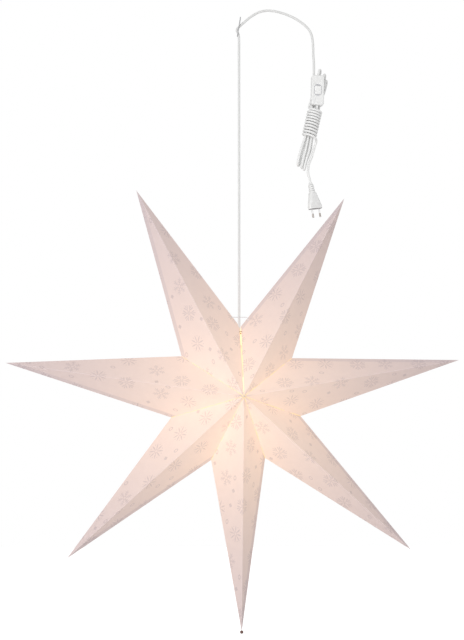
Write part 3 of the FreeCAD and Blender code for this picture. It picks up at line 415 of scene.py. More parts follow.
def make_world():
    world = bpy.data.worlds.new("white_room")
    bpy.context.scene.world = world
    world.use_nodes = True
    tree = world.node_tree
    background = tree.nodes["Background"]
    feed(tree, background.inputs["Color"], (1, 1, 1, 1))
    feed(tree, background.inputs["Strength"],
         math_node(tree, "MULTIPLY_ADD", seen_directly(tree), 1 - SHADE_LEVEL, SHADE_LEVEL))


def make_floor():
    bpy.ops.mesh.primitive_plane_add(size=30, location=(0, 0, -1.75))
    floor = bpy.context.object
    floor.name = "floor"
    material, tree, shader = new_material("pale_floor")
    grey = noise(tree, object_place(tree), 1.5)
    feed(tree, shader.inputs["Base Color"],
         blend_colour(tree, grey, (0.80, 0.80, 0.80, 1), (0.82, 0.82, 0.82, 1)))
    shader.inputs["Roughness"].default_value = 0.9
    shader.inputs["Emission Strength"].default_value = 1.0
    feed(tree, shader.inputs["Emission Color"],
         blend_colour(tree, seen_directly(tree), (0, 0, 0, 1), (*[BACKDROP_GREY] * 3, 1)))
    floor.data.materials.append(material)


def make_lamp(name, place, target, size, power):
    bpy.ops.object.light_add(type="AREA", location=place)
    lamp = bpy.context.object
    lamp.name = name
    lamp.data.size = size
    lamp.data.energy = power
    lamp.rotation_euler = (Vector(target) - Vector(place)).to_track_quat("-Z", "Y").to_euler()


make_world()
make_floor()
make_lamp("key_lamp", (-1.5, -3.9, -0.75), (0, 0, -0.8), 2.4, 90)
print("stage ready")

# %% [markdown]
# ## The star's fixed points
# Every ray is one folded sheet between five points: its tip, the two notches beside it, and the
# hub at the front and at the back. The rays are not quite even, as folded paper never is.

# %% Star points
CENTRE = point(-2.7, 0, -856.5)
HUBS = {"front": CENTRE + point(-1.6, -110, 0), "back": CENTRE + point(-1.6, 110, 0)}
GLOW_MIDDLE = CENTRE + point(-16, 0, -28)       # the lamp shines down, away from its holder
RAY_LEANS = (2.0, 2.5, 2.3, -0.6, -4.2, -4.4, -0.7)
RAY_EXTRA = (11.0, 3.0, 4.0, 4.0, 8.5, 16.0, 15.0)
NOTCH_LEANS = (0.7, 2.2, 1.8, -0.9, -2.4, -2.2, 0.9)
NOTCH_EXTRA = (-1.0, -9.0, -9.0, -3.0, 5.0, 8.0, 11.0)
RAYS = len(RAY_LEANS)
SEAM_GAP = 0.003


def around_star(degrees, reach):
    """A point of the star's middle plane, by its angle clockwise from the top."""
    angle = math.radians(degrees)
    return CENTRE + Vector((math.sin(angle), 0, math.cos(angle))) * reach * MM


def ray_tip(number):
    return around_star((number - 0.5) * 360 / RAYS + RAY_LEANS[number - 1],
                       500 + RAY_EXTRA[number - 1])


def notch(number):
    """The notch that follows a ray; notch 0 is at the seam, like the last."""
    label = number or RAYS
    return around_star(number * 360 / RAYS + NOTCH_LEANS[label - 1], 150 + NOTCH_EXTRA[label - 1])


def ray_corners(number):
    """Tip, left notch and right notch, with the seam's edges drawn apart."""
    left, right = notch(number - 1), notch(number)
    if number == 1:
        left = left + Vector((SEAM_GAP / 2, 0, 0))
    if number == RAYS:
        right = right - Vector((SEAM_GAP / 2, 0, 0))
    return ray_tip(number), left, right


print("star spans", round((ray_tip(2) - ray_tip(6)).length, 3), "m")

# %% [markdown]
# ## Print on the paper
# The paper carries a faint silver print of snow crystals with small rings and diamonds between
# them. A picture would be the usual way, but a repeating drawing can also be worked out: the sheet
# is divided into bricks, each brick holds one crystal that is shifted and turned by its own random
# numbers, and folding the angle round its middle turns one drawn arm into six or eight.

# %% Stroke group
def make_stroke_group():
    """Distance from a point to a stroke between two ends, all in millimetres."""
    tree, given, out = new_group(
        "stroke", [("Spot", VECTOR, None), ("From", VECTOR, None), ("To", VECTOR, None)],
        [("Distance", FLOAT)])
    along = vector_node(tree, "SUBTRACT", given["To"], given["From"])
    spot = vector_node(tree, "SUBTRACT", given["Spot"], given["From"])
    share = math_node(tree, "DIVIDE", vector_node(tree, "DOT_PRODUCT", spot, along, out="Value"),
                      vector_node(tree, "DOT_PRODUCT", along, along, out="Value"))
    share = math_node(tree, "MINIMUM", math_node(tree, "MAXIMUM", share, 0.0), 1.0)
    nearest = tree.nodes.new("ShaderNodeVectorMath")
    nearest.operation = "SCALE"
    feed(tree, nearest.inputs[0], along)
    feed(tree, nearest.inputs["Scale"], share)
    feed(tree, out["Distance"],
         vector_node(tree, "DISTANCE", spot, nearest.outputs[0], out="Value"))
    return tree


stroke_group = make_stroke_group()


def stroke(tree, spot, start, end):
    """Distance of a spot from a stroke."""
    return use_group(tree, stroke_group, Spot=spot, From=(*start, 0), To=(*end, 0))["Distance"]


def nearest_of(tree, *distances):
    least = distances[0]
    for distance in distances[1:]:
        least = math_node(tree, "MINIMUM", least, distance)
    return least


def folded_angle(tree, angle, radius, arms):
    """The spot in millimetres as it lies beside the nearest of a number of arms."""
    sector = 2 * math.pi / arms
    turns = math_node(tree, "DIVIDE", angle, sector)
    offset = math_node(tree, "SUBTRACT", turns, math_node(tree, "ROUND", turns))
    angle = math_node(tree, "ABSOLUTE", math_node(tree, "MULTIPLY", offset, sector))
    node = tree.nodes.new("ShaderNodeCombineXYZ")
    feed(tree, node.inputs[0], math_node(tree, "MULTIPLY", radius, math_node(tree, "COSINE", angle)))
    feed(tree, node.inputs[1], math_node(tree, "MULTIPLY", radius, math_node(tree, "SINE", angle)))
    return node.outputs[0]


print("stroke group ready")

# %% Crystal drawings
def leafy_crystal(tree, angle, radius):
    """Six arms, each with a pair of leaves and a third leaf beyond them."""
    spot = folded_angle(tree, angle, radius, 6)
    spine = math_node(tree, "SUBTRACT", stroke(tree, spot, (2.0, 0), (8.5, 0)), 0.8)
    leaf = math_node(tree, "SUBTRACT", stroke(tree, spot, (9.5, 1.7), (15.5, 5.0)), 1.15)
    point_leaf = math_node(tree, "SUBTRACT", stroke(tree, spot, (13.0, 0), (18.8, 0)), 0.95)
    return nearest_of(tree, spine, leaf, point_leaf)


def burst_crystal(tree, angle, radius):
    """Eight solid arms, widest half way out, with a dot between each two."""
    spot = folded_angle(tree, angle, radius, 8)
    arm = math_node(tree, "SUBTRACT", stroke(tree, spot, (3.5, 0), (17.5, 0)), 0.85)
    middle = math_node(tree, "SUBTRACT", stroke(tree, spot, (9.5, 0), (13.5, 0)), 1.5)
    dot = math_node(tree, "SUBTRACT", stroke(tree, spot, (15.0, 6.2), (15.6, 6.5)), 0.9)
    return nearest_of(tree, arm, middle, dot)


def branched_crystal(tree, angle, radius):
    """Six arms with two pairs of branches each, and a ring round the middle."""
    spot = folded_angle(tree, angle, radius, 6)
    arm = stroke(tree, spot, (5.0, 0), (18.5, 0))
    inner = stroke(tree, spot, (7.5, 0), (10.5, 3.6))
    outer = stroke(tree, spot, (12.0, 0), (15.5, 4.0))
    branches = math_node(tree, "SUBTRACT", nearest_of(tree, arm, inner, outer), 0.75)
    ring = math_node(tree, "ABSOLUTE", math_node(tree, "SUBTRACT", radius, 4.0))
    return nearest_of(tree, branches, math_node(tree, "SUBTRACT", ring, 0.7))


def random_of(tree, cell, seed):
    node = tree.nodes.new("ShaderNodeTexWhiteNoise")
    node.noise_dimensions = "3D"
    feed(tree, node.inputs["Vector"], vector_node(tree, "ADD", cell, (seed, seed * 1.7, seed * 0.3)))
    return node.outputs


def split(tree, vector):
    node = tree.nodes.new("ShaderNodeSeparateXYZ")
    feed(tree, node.inputs[0], vector)
    return node.outputs


def bricks(tree, place, size, halves):
    """Which brick a place lies in, and where in it, in millimetres from the brick's middle."""
    scaled = vector_node(tree, "DIVIDE", place, size)
    parts = split(tree, scaled)
    odd = math_node(tree, "FLOORED_MODULO", math_node(tree, "FLOOR", parts[1]), 2.0)
    shift = tree.nodes.new("ShaderNodeCombineXYZ")
    feed(tree, shift.inputs[0], math_node(tree, "MULTIPLY", odd, halves))
    moved = vector_node(tree, "ADD", scaled, shift.outputs[0])
    cell = vector_node(tree, "FLOOR", moved)
    inside = vector_node(tree, "SUBTRACT", vector_node(tree, "SUBTRACT", moved, cell), (0.5, 0.5, 0.5))
    return cell, vector_node(tree, "MULTIPLY", inside, [1000 * part for part in size[:2]] + [0])


BRICK = 0.068
print("crystal drawings ready")

# %% Print group
def make_print_group():
    tree, given, out = new_group("snow_print", [("Place", VECTOR, None)], [("Ink", FLOAT)])
    flat = vector_node(tree, "MULTIPLY", given["Place"], (1, 1, 0))
    cell, inside = bricks(tree, flat, (BRICK, BRICK, 1), 0.5)
    chance = random_of(tree, cell, 3.1)
    shift = vector_node(tree, "MULTIPLY",
                        vector_node(tree, "SUBTRACT", chance["Color"], (0.5, 0.5, 0.5)), (12, 12, 0))
    spot = vector_node(tree, "SUBTRACT", inside, shift)
    radius = vector_node(tree, "LENGTH", spot, out="Value")
    parts = split(tree, spot)
    turn = math_node(tree, "MULTIPLY", random_of(tree, cell, 9.4)["Value"], 2 * math.pi)
    angle = math_node(tree, "ADD", math_node(tree, "ARCTAN2", parts[1], parts[0]), turn)
    kind = chance["Value"]
    leafy, burst, branched = [draw(tree, angle, radius)
                              for draw in (leafy_crystal, burst_crystal, branched_crystal)]
    is_burst = math_node(tree, "GREATER_THAN", kind, 0.42)
    is_branched = math_node(tree, "GREATER_THAN", kind, 0.66)
    crystal = tree.nodes.new("ShaderNodeMix")
    feed(tree, crystal.inputs[0], is_burst)
    feed(tree, crystal.inputs[2], leafy)
    feed(tree, crystal.inputs[3], burst)
    any_crystal = tree.nodes.new("ShaderNodeMix")
    feed(tree, any_crystal.inputs[0], is_branched)
    feed(tree, any_crystal.inputs[2], crystal.outputs[0])
    feed(tree, any_crystal.inputs[3], branched)
    large = step_between(tree, any_crystal.outputs[0], 0.55, -0.55)

    # small rings and diamonds along the seams between the rows of bricks
    lowered = vector_node(tree, "ADD", flat, (0, BRICK / 2, 0))
    cell, inside = bricks(tree, lowered, (BRICK / 2, BRICK, 1), 0.0)
    chance = random_of(tree, cell, 5.7)
    shift = vector_node(tree, "MULTIPLY",
                        vector_node(tree, "SUBTRACT", chance["Color"], (0.5, 0.5, 0.5)), (7, 7, 0))
    spot = vector_node(tree, "SUBTRACT", inside, shift)
    oval = vector_node(tree, "LENGTH", vector_node(tree, "DIVIDE", spot, (4.6, 3.2, 1)), out="Value")
    ring = math_node(tree, "ABSOLUTE", math_node(tree, "SUBTRACT", oval, 1.0))
    ring = step_between(tree, ring, 0.34, 0.20)
    parts = split(tree, vector_node(tree, "ABSOLUTE", spot))
    diamond = step_between(tree, math_node(tree, "ADD", parts[0], parts[1]), 5.6, 4.8)
    kind = chance["Value"]
    ring = math_node(tree, "MULTIPLY", ring, math_node(tree, "LESS_THAN", kind, 0.24))
    diamond = math_node(tree, "MULTIPLY", diamond, math_node(tree, "GREATER_THAN", kind, 0.78))
    small = math_node(tree, "MAXIMUM", ring, diamond)
    feed(tree, out["Ink"], math_node(tree, "MAXIMUM", large, small))
    return tree


snow_print = make_print_group()
print("print group has", len(snow_print.nodes), "nodes")

# %% [markdown]
# ## Paper
# The sheet is thin matt paper with fibres in it. Seen from outside it reflects a pale
# lavender-pink, and the lamp shines through it in a warm tone that is strongest round the bulb.
# Real light inside a translucent shell needs very many samples, so the light that comes through
# is worked out for each corner of the mesh instead, stored with it, and given out as a glow.

# %% Paper materials
def paper_maps(tree):
    """Places on the sheet, distances from its folds, and the stored glow."""
    maps = {}
    for name in ("sheet", "folds", "valley"):
        node = tree.nodes.new("ShaderNodeUVMap")
        node.uv_map = name
        maps[name] = node.outputs["UV"]
    node = tree.nodes.new("ShaderNodeAttribute")
    node.attribute_name = "glow"
    maps["glow"] = node.outputs["Fac"]
    return maps


def make_fibre_group():
    tree, given, out = new_group("paper_fibre", [("Place", VECTOR, None)],
                                 [("Cloud", FLOAT), ("Height", FLOAT)])
    place = tree.nodes.new("ShaderNodeMapping")
    feed(tree, place.inputs["Vector"], given["Place"])
    place.inputs["Scale"].default_value = (1.0, 0.45, 1.0)
    cloud = noise(tree, given["Place"], 60.0, 4.0, 0.6)
    fibres = noise(tree, place.outputs[0], 1400.0, 3.0, 0.6)
    feed(tree, out["Cloud"], cloud)
    feed(tree, out["Height"], math_node(tree, "MULTIPLY_ADD", cloud, 0.4, fibres))
    return tree


paper_fibre = make_fibre_group()
FLAP_SHADE_WIDTH = 0.011


def darkened(tree, value, *shares):
    """A number less each share of it, where a share is a mask and how much it takes away."""
    for mask, share in shares:
        value = math_node(tree, "MULTIPLY", value, math_node(tree, "MULTIPLY_ADD", mask, -share, 1.0))
    return value


def scaled_colour(tree, colour, scale):
    node = tree.nodes.new("ShaderNodeVectorMath")
    node.operation = "SCALE"
    feed(tree, node.inputs[0], colour)
    feed(tree, node.inputs["Scale"], scale)
    return node.outputs[0]


def make_paper():
    material, tree, shader = new_material("printed_paper")
    maps = paper_maps(tree)
    fibre = use_group(tree, paper_fibre, Place=maps["sheet"])
    ink = use_group(tree, snow_print, Place=maps["sheet"])["Ink"]
    ridge_gap, side_gap = split(tree, maps["folds"])[:2]
    valley_gap, front_left = split(tree, maps["valley"])[:2]
    # Painted shade: a darker band along the left side edge of the front facet, where the glue flap's
    # double paper lets less lamp light through.
    flap_shade = math_node(tree, "MULTIPLY", front_left,
                     step_between(tree, side_gap, FLAP_SHADE_WIDTH, FLAP_SHADE_WIDTH * 0.9))
    # Painted shade: the paper's colour and its glow are darker along the ridges close to the hub.
    hub_ridge_shade = math_node(tree, "MULTIPLY", step_between(tree, ridge_gap, 0.0038, 0.0),
                        step_between(tree, valley_gap, 0.016, 0.003))

    colour = blend_colour(tree, fibre["Cloud"], (0.536, 0.457, 0.482, 1), (0.562, 0.479, 0.504, 1))
    # The band of painted shade darkens the paper's colour.
    painted_band = math_node(tree, "MULTIPLY", flap_shade, 0.25)
    colour = blend_colour(tree, painted_band, colour, (0.42, 0.37, 0.42, 1))
    # A thin paler line along each ridge: partly a painted highlight where the fold catches the light,
    # partly print worn off the fold.
    ridge_highlight_and_wear = step_between(tree, ridge_gap, 0.0016, 0.0004)
    ridge_highlight_and_wear_share = math_node(tree, "MULTIPLY", ridge_highlight_and_wear, 0.4)
    colour = blend_colour(tree, ridge_highlight_and_wear_share, colour, (0.66, 0.60, 0.66, 1))
    printed = math_node(tree, "MULTIPLY", ink, 0.60)
    colour = blend_colour(tree, printed, colour, (0.37, 0.315, 0.36, 1))
    # The base colour is darkened by the painted shade near the hub.
    feed(tree, shader.inputs["Base Color"],
         scaled_colour(tree, colour, darkened(tree, 1.0, (hub_ridge_shade, 0.15))))

    glow = darkened(tree, maps["glow"], (flap_shade, 0.25), (ink, 0.20), (hub_ridge_shade, 0.25))
    clouds = math_node(tree, "MULTIPLY_ADD", fibre["Cloud"], 0.14, 0.93)
    glow = math_node(tree, "MULTIPLY", glow, clouds)
    # Painted light: thin yellow lines glow along the valleys, broken by noise, where lamp light comes
    # through gaps in the seams.
    light_leak = step_between(tree, valley_gap, 0.0014, 0.0003)
    gaps = noise(tree, maps["sheet"], 55.0, 2.0)
    light_leak = math_node(tree, "MULTIPLY", light_leak, step_between(tree, gaps, 0.40, 0.56))
    light_leak = math_node(tree, "MULTIPLY", light_leak, step_between(tree, maps["glow"], 0.20, 0.40))
    feed(tree, shader.inputs["Emission Color"],
         blend_colour(tree, light_leak, scaled_colour(tree, (1.0, 0.70, 0.40), glow), (0.62, 0.42, 0.02, 1)))
    shader.inputs["Emission Strength"].default_value = 1.0
    feed(tree, shader.inputs["Roughness"], math_node(tree, "MULTIPLY_ADD", ink, -0.30, 0.85))
    height = math_node(tree, "MULTIPLY_ADD", ink, 6.0, fibre["Height"])
    feed(tree, shader.inputs["Normal"], bump(tree, height, 0.00003))
    return material


def make_paper_inside():
    material, tree, shader = new_material("lit_paper_inside")
    maps = paper_maps(tree)
    fibre = use_group(tree, paper_fibre, Place=maps["sheet"])
    feed(tree, shader.inputs["Base Color"],
         blend_colour(tree, fibre["Cloud"], (0.84, 0.78, 0.74, 1), (0.88, 0.82, 0.78, 1)))
    bright = math_node(tree, "MULTIPLY_ADD", maps["glow"], 1.35, 0.02)
    feed(tree, shader.inputs["Emission Color"], scaled_colour(tree, (1.0, 0.74, 0.40), bright))
    shader.inputs["Emission Strength"].default_value = 1.0
    shader.inputs["Roughness"].default_value = 0.9
    feed(tree, shader.inputs["Normal"], bump(tree, fibre["Height"], 0.00004))
    return material


paper, paper_inside = make_paper(), make_paper_inside()
print("paper materials ready")

# %% [markdown]
# ## Folding the rays
# Cut open, a ray is four long triangles side by side. It could be drawn as a net and folded, but
# it is quicker to start where the ray joins the middle: a square with its corners at both hubs and
# both notches is drawn out to the tip, the square itself is taken away, and what stays are the four
# facets. They are divided into small triangles so that the glow can change over them, and Solidify
# gives the sheet its thickness, with the lit inside as a second material.

# %% Editing helpers
def start_clean():
    if bpy.context.object and bpy.context.object.mode != "OBJECT":
        bpy.ops.object.mode_set(mode="OBJECT")
    bpy.ops.object.select_all(action="DESELECT")


def edit(thing):
    start_clean()
    thing.select_set(True)
    bpy.context.view_layer.objects.active = thing
    bpy.ops.object.mode_set(mode="EDIT")


def done():
    bpy.ops.object.mode_set(mode="OBJECT")


def choose(thing, kind, test):
    """In edit mode, select only the faces, edges or vertices that pass a test."""
    bpy.ops.mesh.select_mode(type={"faces": "FACE", "edges": "EDGE", "vertices": "VERT"}[kind])
    bpy.ops.mesh.select_all(action="DESELECT")
    bpy.ops.object.mode_set(mode="OBJECT")
    for part in getattr(thing.data, {"faces": "polygons"}.get(kind, kind)):
        part.select = bool(test(part))
    bpy.ops.object.mode_set(mode="EDIT")


def apply_modifier(thing, kind, **settings):
    start_clean()
    thing.select_set(True)
    bpy.context.view_layer.objects.active = thing
    modifier = thing.modifiers.new(kind.lower(), kind)
    for name, value in settings.items():
        setattr(modifier, name, value)
    bpy.ops.object.modifier_apply(modifier=modifier.name)


def settle(thing):
    """Put a finished piece's place into its mesh, so that its object sits at the origin."""
    start_clean()
    thing.select_set(True)
    bpy.context.view_layer.objects.active = thing
    bpy.ops.object.transform_apply(location=True, rotation=True, scale=True)


CUTS = 29
PAPER = 0.0004


def fold_ray(number):
    """The four facets of a ray as a plain shell."""
    tip, left, right = ray_corners(number)
    corners = [HUBS["front"], left, HUBS["back"], right]
    start_clean()
    bpy.ops.mesh.primitive_plane_add(size=0.1)
    ray = bpy.context.object
    ray.name = "paper_ray_%d" % number
    order = (0, 1, 3, 2)
    for index, corner in zip(order, corners):
        edit(ray)
        choose(ray, "vertices", lambda vertex: vertex.index == index)
        here = ray.data.vertices[index].co.copy()
        bpy.ops.transform.translate(value=corner - here)
        done()
    edit(ray)
    bpy.ops.mesh.select_all(action="SELECT")
    middle = sum(corners, Vector()) / 4
    bpy.ops.mesh.extrude_region_move(TRANSFORM_OT_translate={"value": tip - middle})
    bpy.ops.mesh.merge(type="CENTER")
    choose(ray, "faces", lambda face: len(face.vertices) == 4)
    bpy.ops.mesh.delete(type="ONLY_FACE")
    bpy.ops.mesh.select_all(action="SELECT")
    bpy.ops.mesh.normals_make_consistent(inside=False)
    done()
    return ray


print("each facet is cut into", (CUTS + 1) ** 2, "triangles")

# %% [markdown]
# ## Where each spot lies on the sheet
# The print has to run on across the folds, so each facet is laid flat next to its neighbour, like
# a fan opened round the tip. The same step stores how far each spot lies from the ridge, from the
# side edge and from the valley, and how much of the bulb's light comes through there.

# %% Sheet maps
def facet_table(number):
    """The four facets in the order in which they follow each other round the ray."""
    tip, left, right = ray_corners(number)
    table, turned = [], 0.0
    for side, hub_name, first, second in (
            ("left", "front", left, "ridge"), ("right", "front", "ridge", right),
            ("right", "back", right, "ridge"), ("left", "back", "ridge", left)):
        hub = HUBS[hub_name]
        begin = hub if first == "ridge" else first
        end = hub if second == "ridge" else second
        side_point = left if side == "left" else right
        facet = {
            "side": side, "hub_name": hub_name, "tip": tip, "begin": begin - tip, "end": end - tip,
            "turned": turned, "ridge": (tip, hub), "edge": (tip, side_point),
            "valley": (hub, side_point),
        }
        facet["normal"] = facet["begin"].cross(facet["end"]).normalized()
        turned += facet["begin"].angle(facet["end"])
        table.append(facet)
    return table


def from_line(spot, line):
    start, end = line
    along = (end - start).normalized()
    reach = spot - start
    return (reach - along * reach.dot(along)).length


def glow_at(spot):
    """Light through the paper, which fades as the walls pass it on towards the tips."""
    return 0.66 * math.exp(-(spot - GLOW_MIDDLE).length / 0.29)


def map_sheet(ray, number):
    mesh = ray.data
    table = facet_table(number)
    inside = sum(ray_corners(number), Vector()) / 3
    for facet in table:
        if facet["normal"].dot(inside - facet["tip"] - facet["begin"] / 2) > 0:
            facet["out"] = -facet["normal"]
        else:
            facet["out"] = facet["normal"]
    for name in ("sheet", "folds", "valley"):
        mesh.uv_layers.new(name=name)
    mesh.attributes.new("glow", "FLOAT", "CORNER")
    layers, glow = mesh.uv_layers, mesh.attributes["glow"]
    shift = Vector((0.137, 0.211)) * number
    for face in mesh.polygons:
        facet = max(table, key=lambda entry: entry["out"].dot(face.normal))
        first = facet["begin"].normalized()
        across = facet["normal"].cross(first)
        for loop in face.loop_indices:
            spot = mesh.vertices[mesh.loops[loop].vertex_index].co
            reach = spot - facet["tip"]
            angle = math.atan2(reach.dot(across), reach.dot(first)) + facet["turned"]
            flat = Vector((math.cos(angle), math.sin(angle))) * reach.length + shift
            layers["sheet"].data[loop].uv = flat
            layers["folds"].data[loop].uv = (from_line(spot, facet["ridge"]),
                                             from_line(spot, facet["edge"]))
            # The left facet at the front carries the band of painted shade beside its glue flap.
            painted_band = 1.0 if facet["side"] == "left" and facet["hub_name"] == "front" else 0.0
            layers["valley"].data[loop].uv = (from_line(spot, facet["valley"]), painted_band)
            glow.data[loop].value = glow_at(spot)


def make_ray(number):
    ray = fold_ray(number)
    edit(ray)
    bpy.ops.mesh.select_all(action="SELECT")
    bpy.ops.mesh.subdivide(number_cuts=CUTS)
    done()
    map_sheet(ray, number)
    ray.data.materials.append(paper)
    ray.data.materials.append(paper_inside)
    apply_modifier(ray, "SOLIDIFY", thickness=PAPER, offset=-1.0, material_offset=1,
                   material_offset_rim=0)
    settle(ray)
    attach(ray, "star")
    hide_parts("ray_%d" % number)
    return ray


rays = [make_ray(number) for number in range(1, RAYS + 1)]
print("rays have", sum(len(ray.data.polygons) for ray in rays), "faces")

# %% [markdown]
# ## Plastics and metals of the other parts
# The switch, the plug and the plate are the same off-white moulding in slightly different tones.
# Metals get a drawn or turned grain.

# %% Plastics
switch_shell = plastic("switch_shell", (0.765, 0.765, 0.76), 0.32, 2200.0, 0.02, 0.000002)
switch_key = plastic("switch_key", (0.80, 0.80, 0.795), 0.26, 2200.0, 0.02, 0.000002)
groove_grey = plastic("groove_grey", (0.52, 0.52, 0.55), 0.5, 2200.0, 0.02, 0.000002)
plug_shell = plastic("plug_shell", (0.765, 0.765, 0.76), 0.50, 1500.0, 0.03, 0.000006)
# Painted shade: the plug's face with the pins is dark grey for the shade it lies in.
shaded_plug_face = plastic("shaded_plug_face", (0.24, 0.23, 0.24), 0.55)
sleeve_white = plastic("sleeve_white", (0.80, 0.80, 0.80), 0.35)
plate_grey = plastic("plate_grey", (0.36, 0.36, 0.37), 0.28)
holder_white = plastic("holder_white", (0.78, 0.78, 0.76), 0.40)
insulator_cream = plastic("insulator_cream", (0.64, 0.60, 0.54), 0.60)
bulb_black = plastic("bulb_black", (0.02, 0.02, 0.025), 0.15)
bead_brown = plastic("bead_brown", (0.12, 0.05, 0.035), 0.25, 900.0, 0.2)
knot_thread = plastic("knot_thread", (0.62, 0.58, 0.61), 0.7, 2500.0, 0.15, 0.00002)
tie_brown = plastic("tie_brown", (0.20, 0.09, 0.04), 0.55, 1500.0, 0.2)


def metal(name, colour, roughness=0.3, grain=(1, 1, 12)):
    """A metal with fine lines along one way."""
    material, tree, shader = new_material(name)
    lines = tree.nodes.new("ShaderNodeMapping")
    feed(tree, lines.inputs["Vector"], object_place(tree))
    lines.inputs["Scale"].default_value = grain
    streaks = noise(tree, lines.outputs[0], 900.0, 3.0)
    feed(tree, shader.inputs["Base Color"],
         blend_colour(tree, streaks, (*[0.9 * part for part in colour], 1), (*colour, 1)))
    shader.inputs["Metallic"].default_value = 1.0
    feed(tree, shader.inputs["Roughness"], math_node(tree, "MULTIPLY_ADD", streaks, 0.2, roughness - 0.1))
    feed(tree, shader.inputs["Normal"], bump(tree, streaks, 0.00001))
    return material


drawn_wire = metal("drawn_wire", (0.68, 0.67, 0.68), 0.42)
brass = metal("brass", (0.76, 0.56, 0.24), 0.28)
copper = metal("copper", (0.78, 0.42, 0.26), 0.30)
nickel = metal("nickel", (0.30, 0.27, 0.25), 0.30)
zinc = metal("zinc", (0.60, 0.60, 0.62), 0.35)
rolled_metal = metal("rolled_metal", (0.74, 0.74, 0.74), 0.28, (1, 1, 20))


def opal_glass():
    material, tree, shader = new_material("opal_glass")
    cloud = noise(tree, object_place(tree), 60.0)
    feed(tree, shader.inputs["Base Color"],
         blend_colour(tree, cloud, (0.95, 0.90, 0.80, 1), (0.97, 0.93, 0.85, 1)))
    shader.inputs["Roughness"].default_value = 0.2
    feed(tree, shader.inputs["Emission Color"],
         blend_colour(tree, cloud, (1.0, 0.80, 0.44, 1), (1.0, 0.84, 0.50, 1)))
    shader.inputs["Emission Strength"].default_value = 1.0
    return material


bulb_glass = opal_glass()


def finish_node(name, material):
    thing = nodes[name]
    thing.data.materials.clear()
    thing.data.materials.append(material)


FINISHES = {
    "seam_tie_front": tie_brown, "seam_tie_back": tie_brown, "hub_knot_front": knot_thread,
    "hub_knot_back": knot_thread, "tip_bead": bead_brown, "hanger_wire": drawn_wire,
    "holder_cap": holder_white, "holder_skirt": holder_white, "holder_insert": insulator_cream,
    "holder_screw_shell": brass, "holder_terminals": brass, "holder_terminal_screws": zinc,
    "holder_leads": copper, "holder_centre_contact": brass, "bulb_contact": brass,
    "bulb_insulator": bulb_black, "bulb_base": rolled_metal, "bulb_collar": holder_white,
    "bulb_globe": bulb_glass, "bulb_light_stem": holder_white, "hook_plate": plate_grey,
    "switch_front": switch_shell, "switch_back": switch_shell, "switch_rocker": switch_key,
    "switch_pivot_pin": zinc, "switch_contact_blade": brass, "switch_fixed_contact": brass,
    "switch_terminals": brass, "switch_screw_heads": zinc, "switch_leads": copper,
    "plug_body": plug_shell, "plug_strain_relief": plug_shell, "plug_pins": nickel,
    "plug_pin_sleeves": sleeve_white,
}
for name, material in FINISHES.items():
    finish_node(name, material)
print(len(FINISHES), "nodes finished")

# %% [markdown]
# ## Softer edges for the switch and the plate
# Moulded parts never have knife-sharp edges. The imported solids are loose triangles, so a bevel on
# them would do nothing. A copy of each is merged and cleared of flat edges first, then bevelled,
# and it takes the place of its solid.

# %% Softened copies
def softened(name, width, steps=3, angle=35):
    """A copy of a solid with its sharp edges rounded; it stands for the solid."""
    start_clean()
    source = nodes[name]
    copy = bpy.data.objects.new(name + "_soft", source.data.copy())
    bpy.context.collection.objects.link(copy)
    copy.matrix_world = source.matrix_world
    edit(copy)
    bpy.ops.mesh.select_all(action="SELECT")
    bpy.ops.mesh.remove_doubles(threshold=0.00002)
    bpy.ops.mesh.dissolve_limited(angle_limit=math.radians(3))
    done()
    apply_modifier(copy, "BEVEL", width=width, segments=steps, limit_method="ANGLE",
                   angle_limit=math.radians(angle))
    bpy.ops.object.shade_smooth_by_angle(angle=math.radians(30))
    settle(copy)
    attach(copy, body_of(source)[0])
    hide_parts(name)
    return copy


switch_front = softened("switch_front", 0.0005)
switch_back = softened("switch_back", 0.0004)
switch_rocker = softened("switch_rocker", 0.0006)
hook_plate = softened("hook_plate", 0.0003, 2)
for piece, slot in ((switch_front, "switch_shell"), (switch_back, "switch_shell"),
                    (switch_rocker, "switch_key"), (hook_plate, "clear_plate")):
    print(piece.name, len(piece.data.polygons), "faces")

# %% [markdown]
# ## The collar round the rocker
# The rocker sits in an oval groove with a collar a little below the face, so that no one looks
# into the housing. A circle is pulled apart into an oval, inset to a ring and given a thickness.

# %% Rocker collar
WINDOW_RADIUS, WINDOW_END = 0.0085, 0.0047       # the oval window: its round ends and their middles
RING_WIDTH, RING_REACH = 0.0011, 0.0108          # the ring's breadth, and where it stops at the ends


def make_rocker_collar():
    start_clean()
    bpy.ops.mesh.primitive_circle_add(vertices=64, radius=WINDOW_RADIUS, fill_type="NGON",
                                      rotation=(math.pi / 2, 0, 0))
    collar = bpy.context.object
    collar.name = "rocker_collar"
    settle(collar)
    for way in (1, -1):
        edit(collar)
        choose(collar, "vertices", lambda vertex: vertex.co.z * way > 0.00001)
        bpy.ops.transform.translate(value=(0, 0, WINDOW_END * way))
        done()
    edit(collar)
    bpy.ops.mesh.select_all(action="SELECT")
    bpy.ops.mesh.inset(thickness=RING_WIDTH, depth=0)
    bpy.ops.mesh.delete(type="ONLY_FACE")
    for way in (1, -1):
        # the rocker is round from end to end, so the ring reaches in above its two ends
        choose(collar, "vertices", lambda vertex: vertex.co.z * way > RING_REACH and
               math.hypot(vertex.co.x, vertex.co.z - WINDOW_END * way) < WINDOW_RADIUS - RING_WIDTH / 2)
        bpy.ops.transform.resize(value=(1, 1, 0), center_override=(0, 0, RING_REACH * way))
    done()
    apply_modifier(collar, "SOLIDIFY", thickness=0.0005, offset=0.0)
    inward = SWITCH_PLACE.inverted()
    face = min((inward @ vertex.co).y for vertex in switch_front.data.vertices)
    edit(collar)
    bpy.ops.mesh.select_all(action="SELECT")
    bpy.ops.transform.translate(value=(0, face + 0.00055, 0))
    done()
    collar.matrix_world = SWITCH_PLACE
    settle(collar)
    collar.data.materials.append(groove_grey)
    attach(collar, "suspension")
    return collar


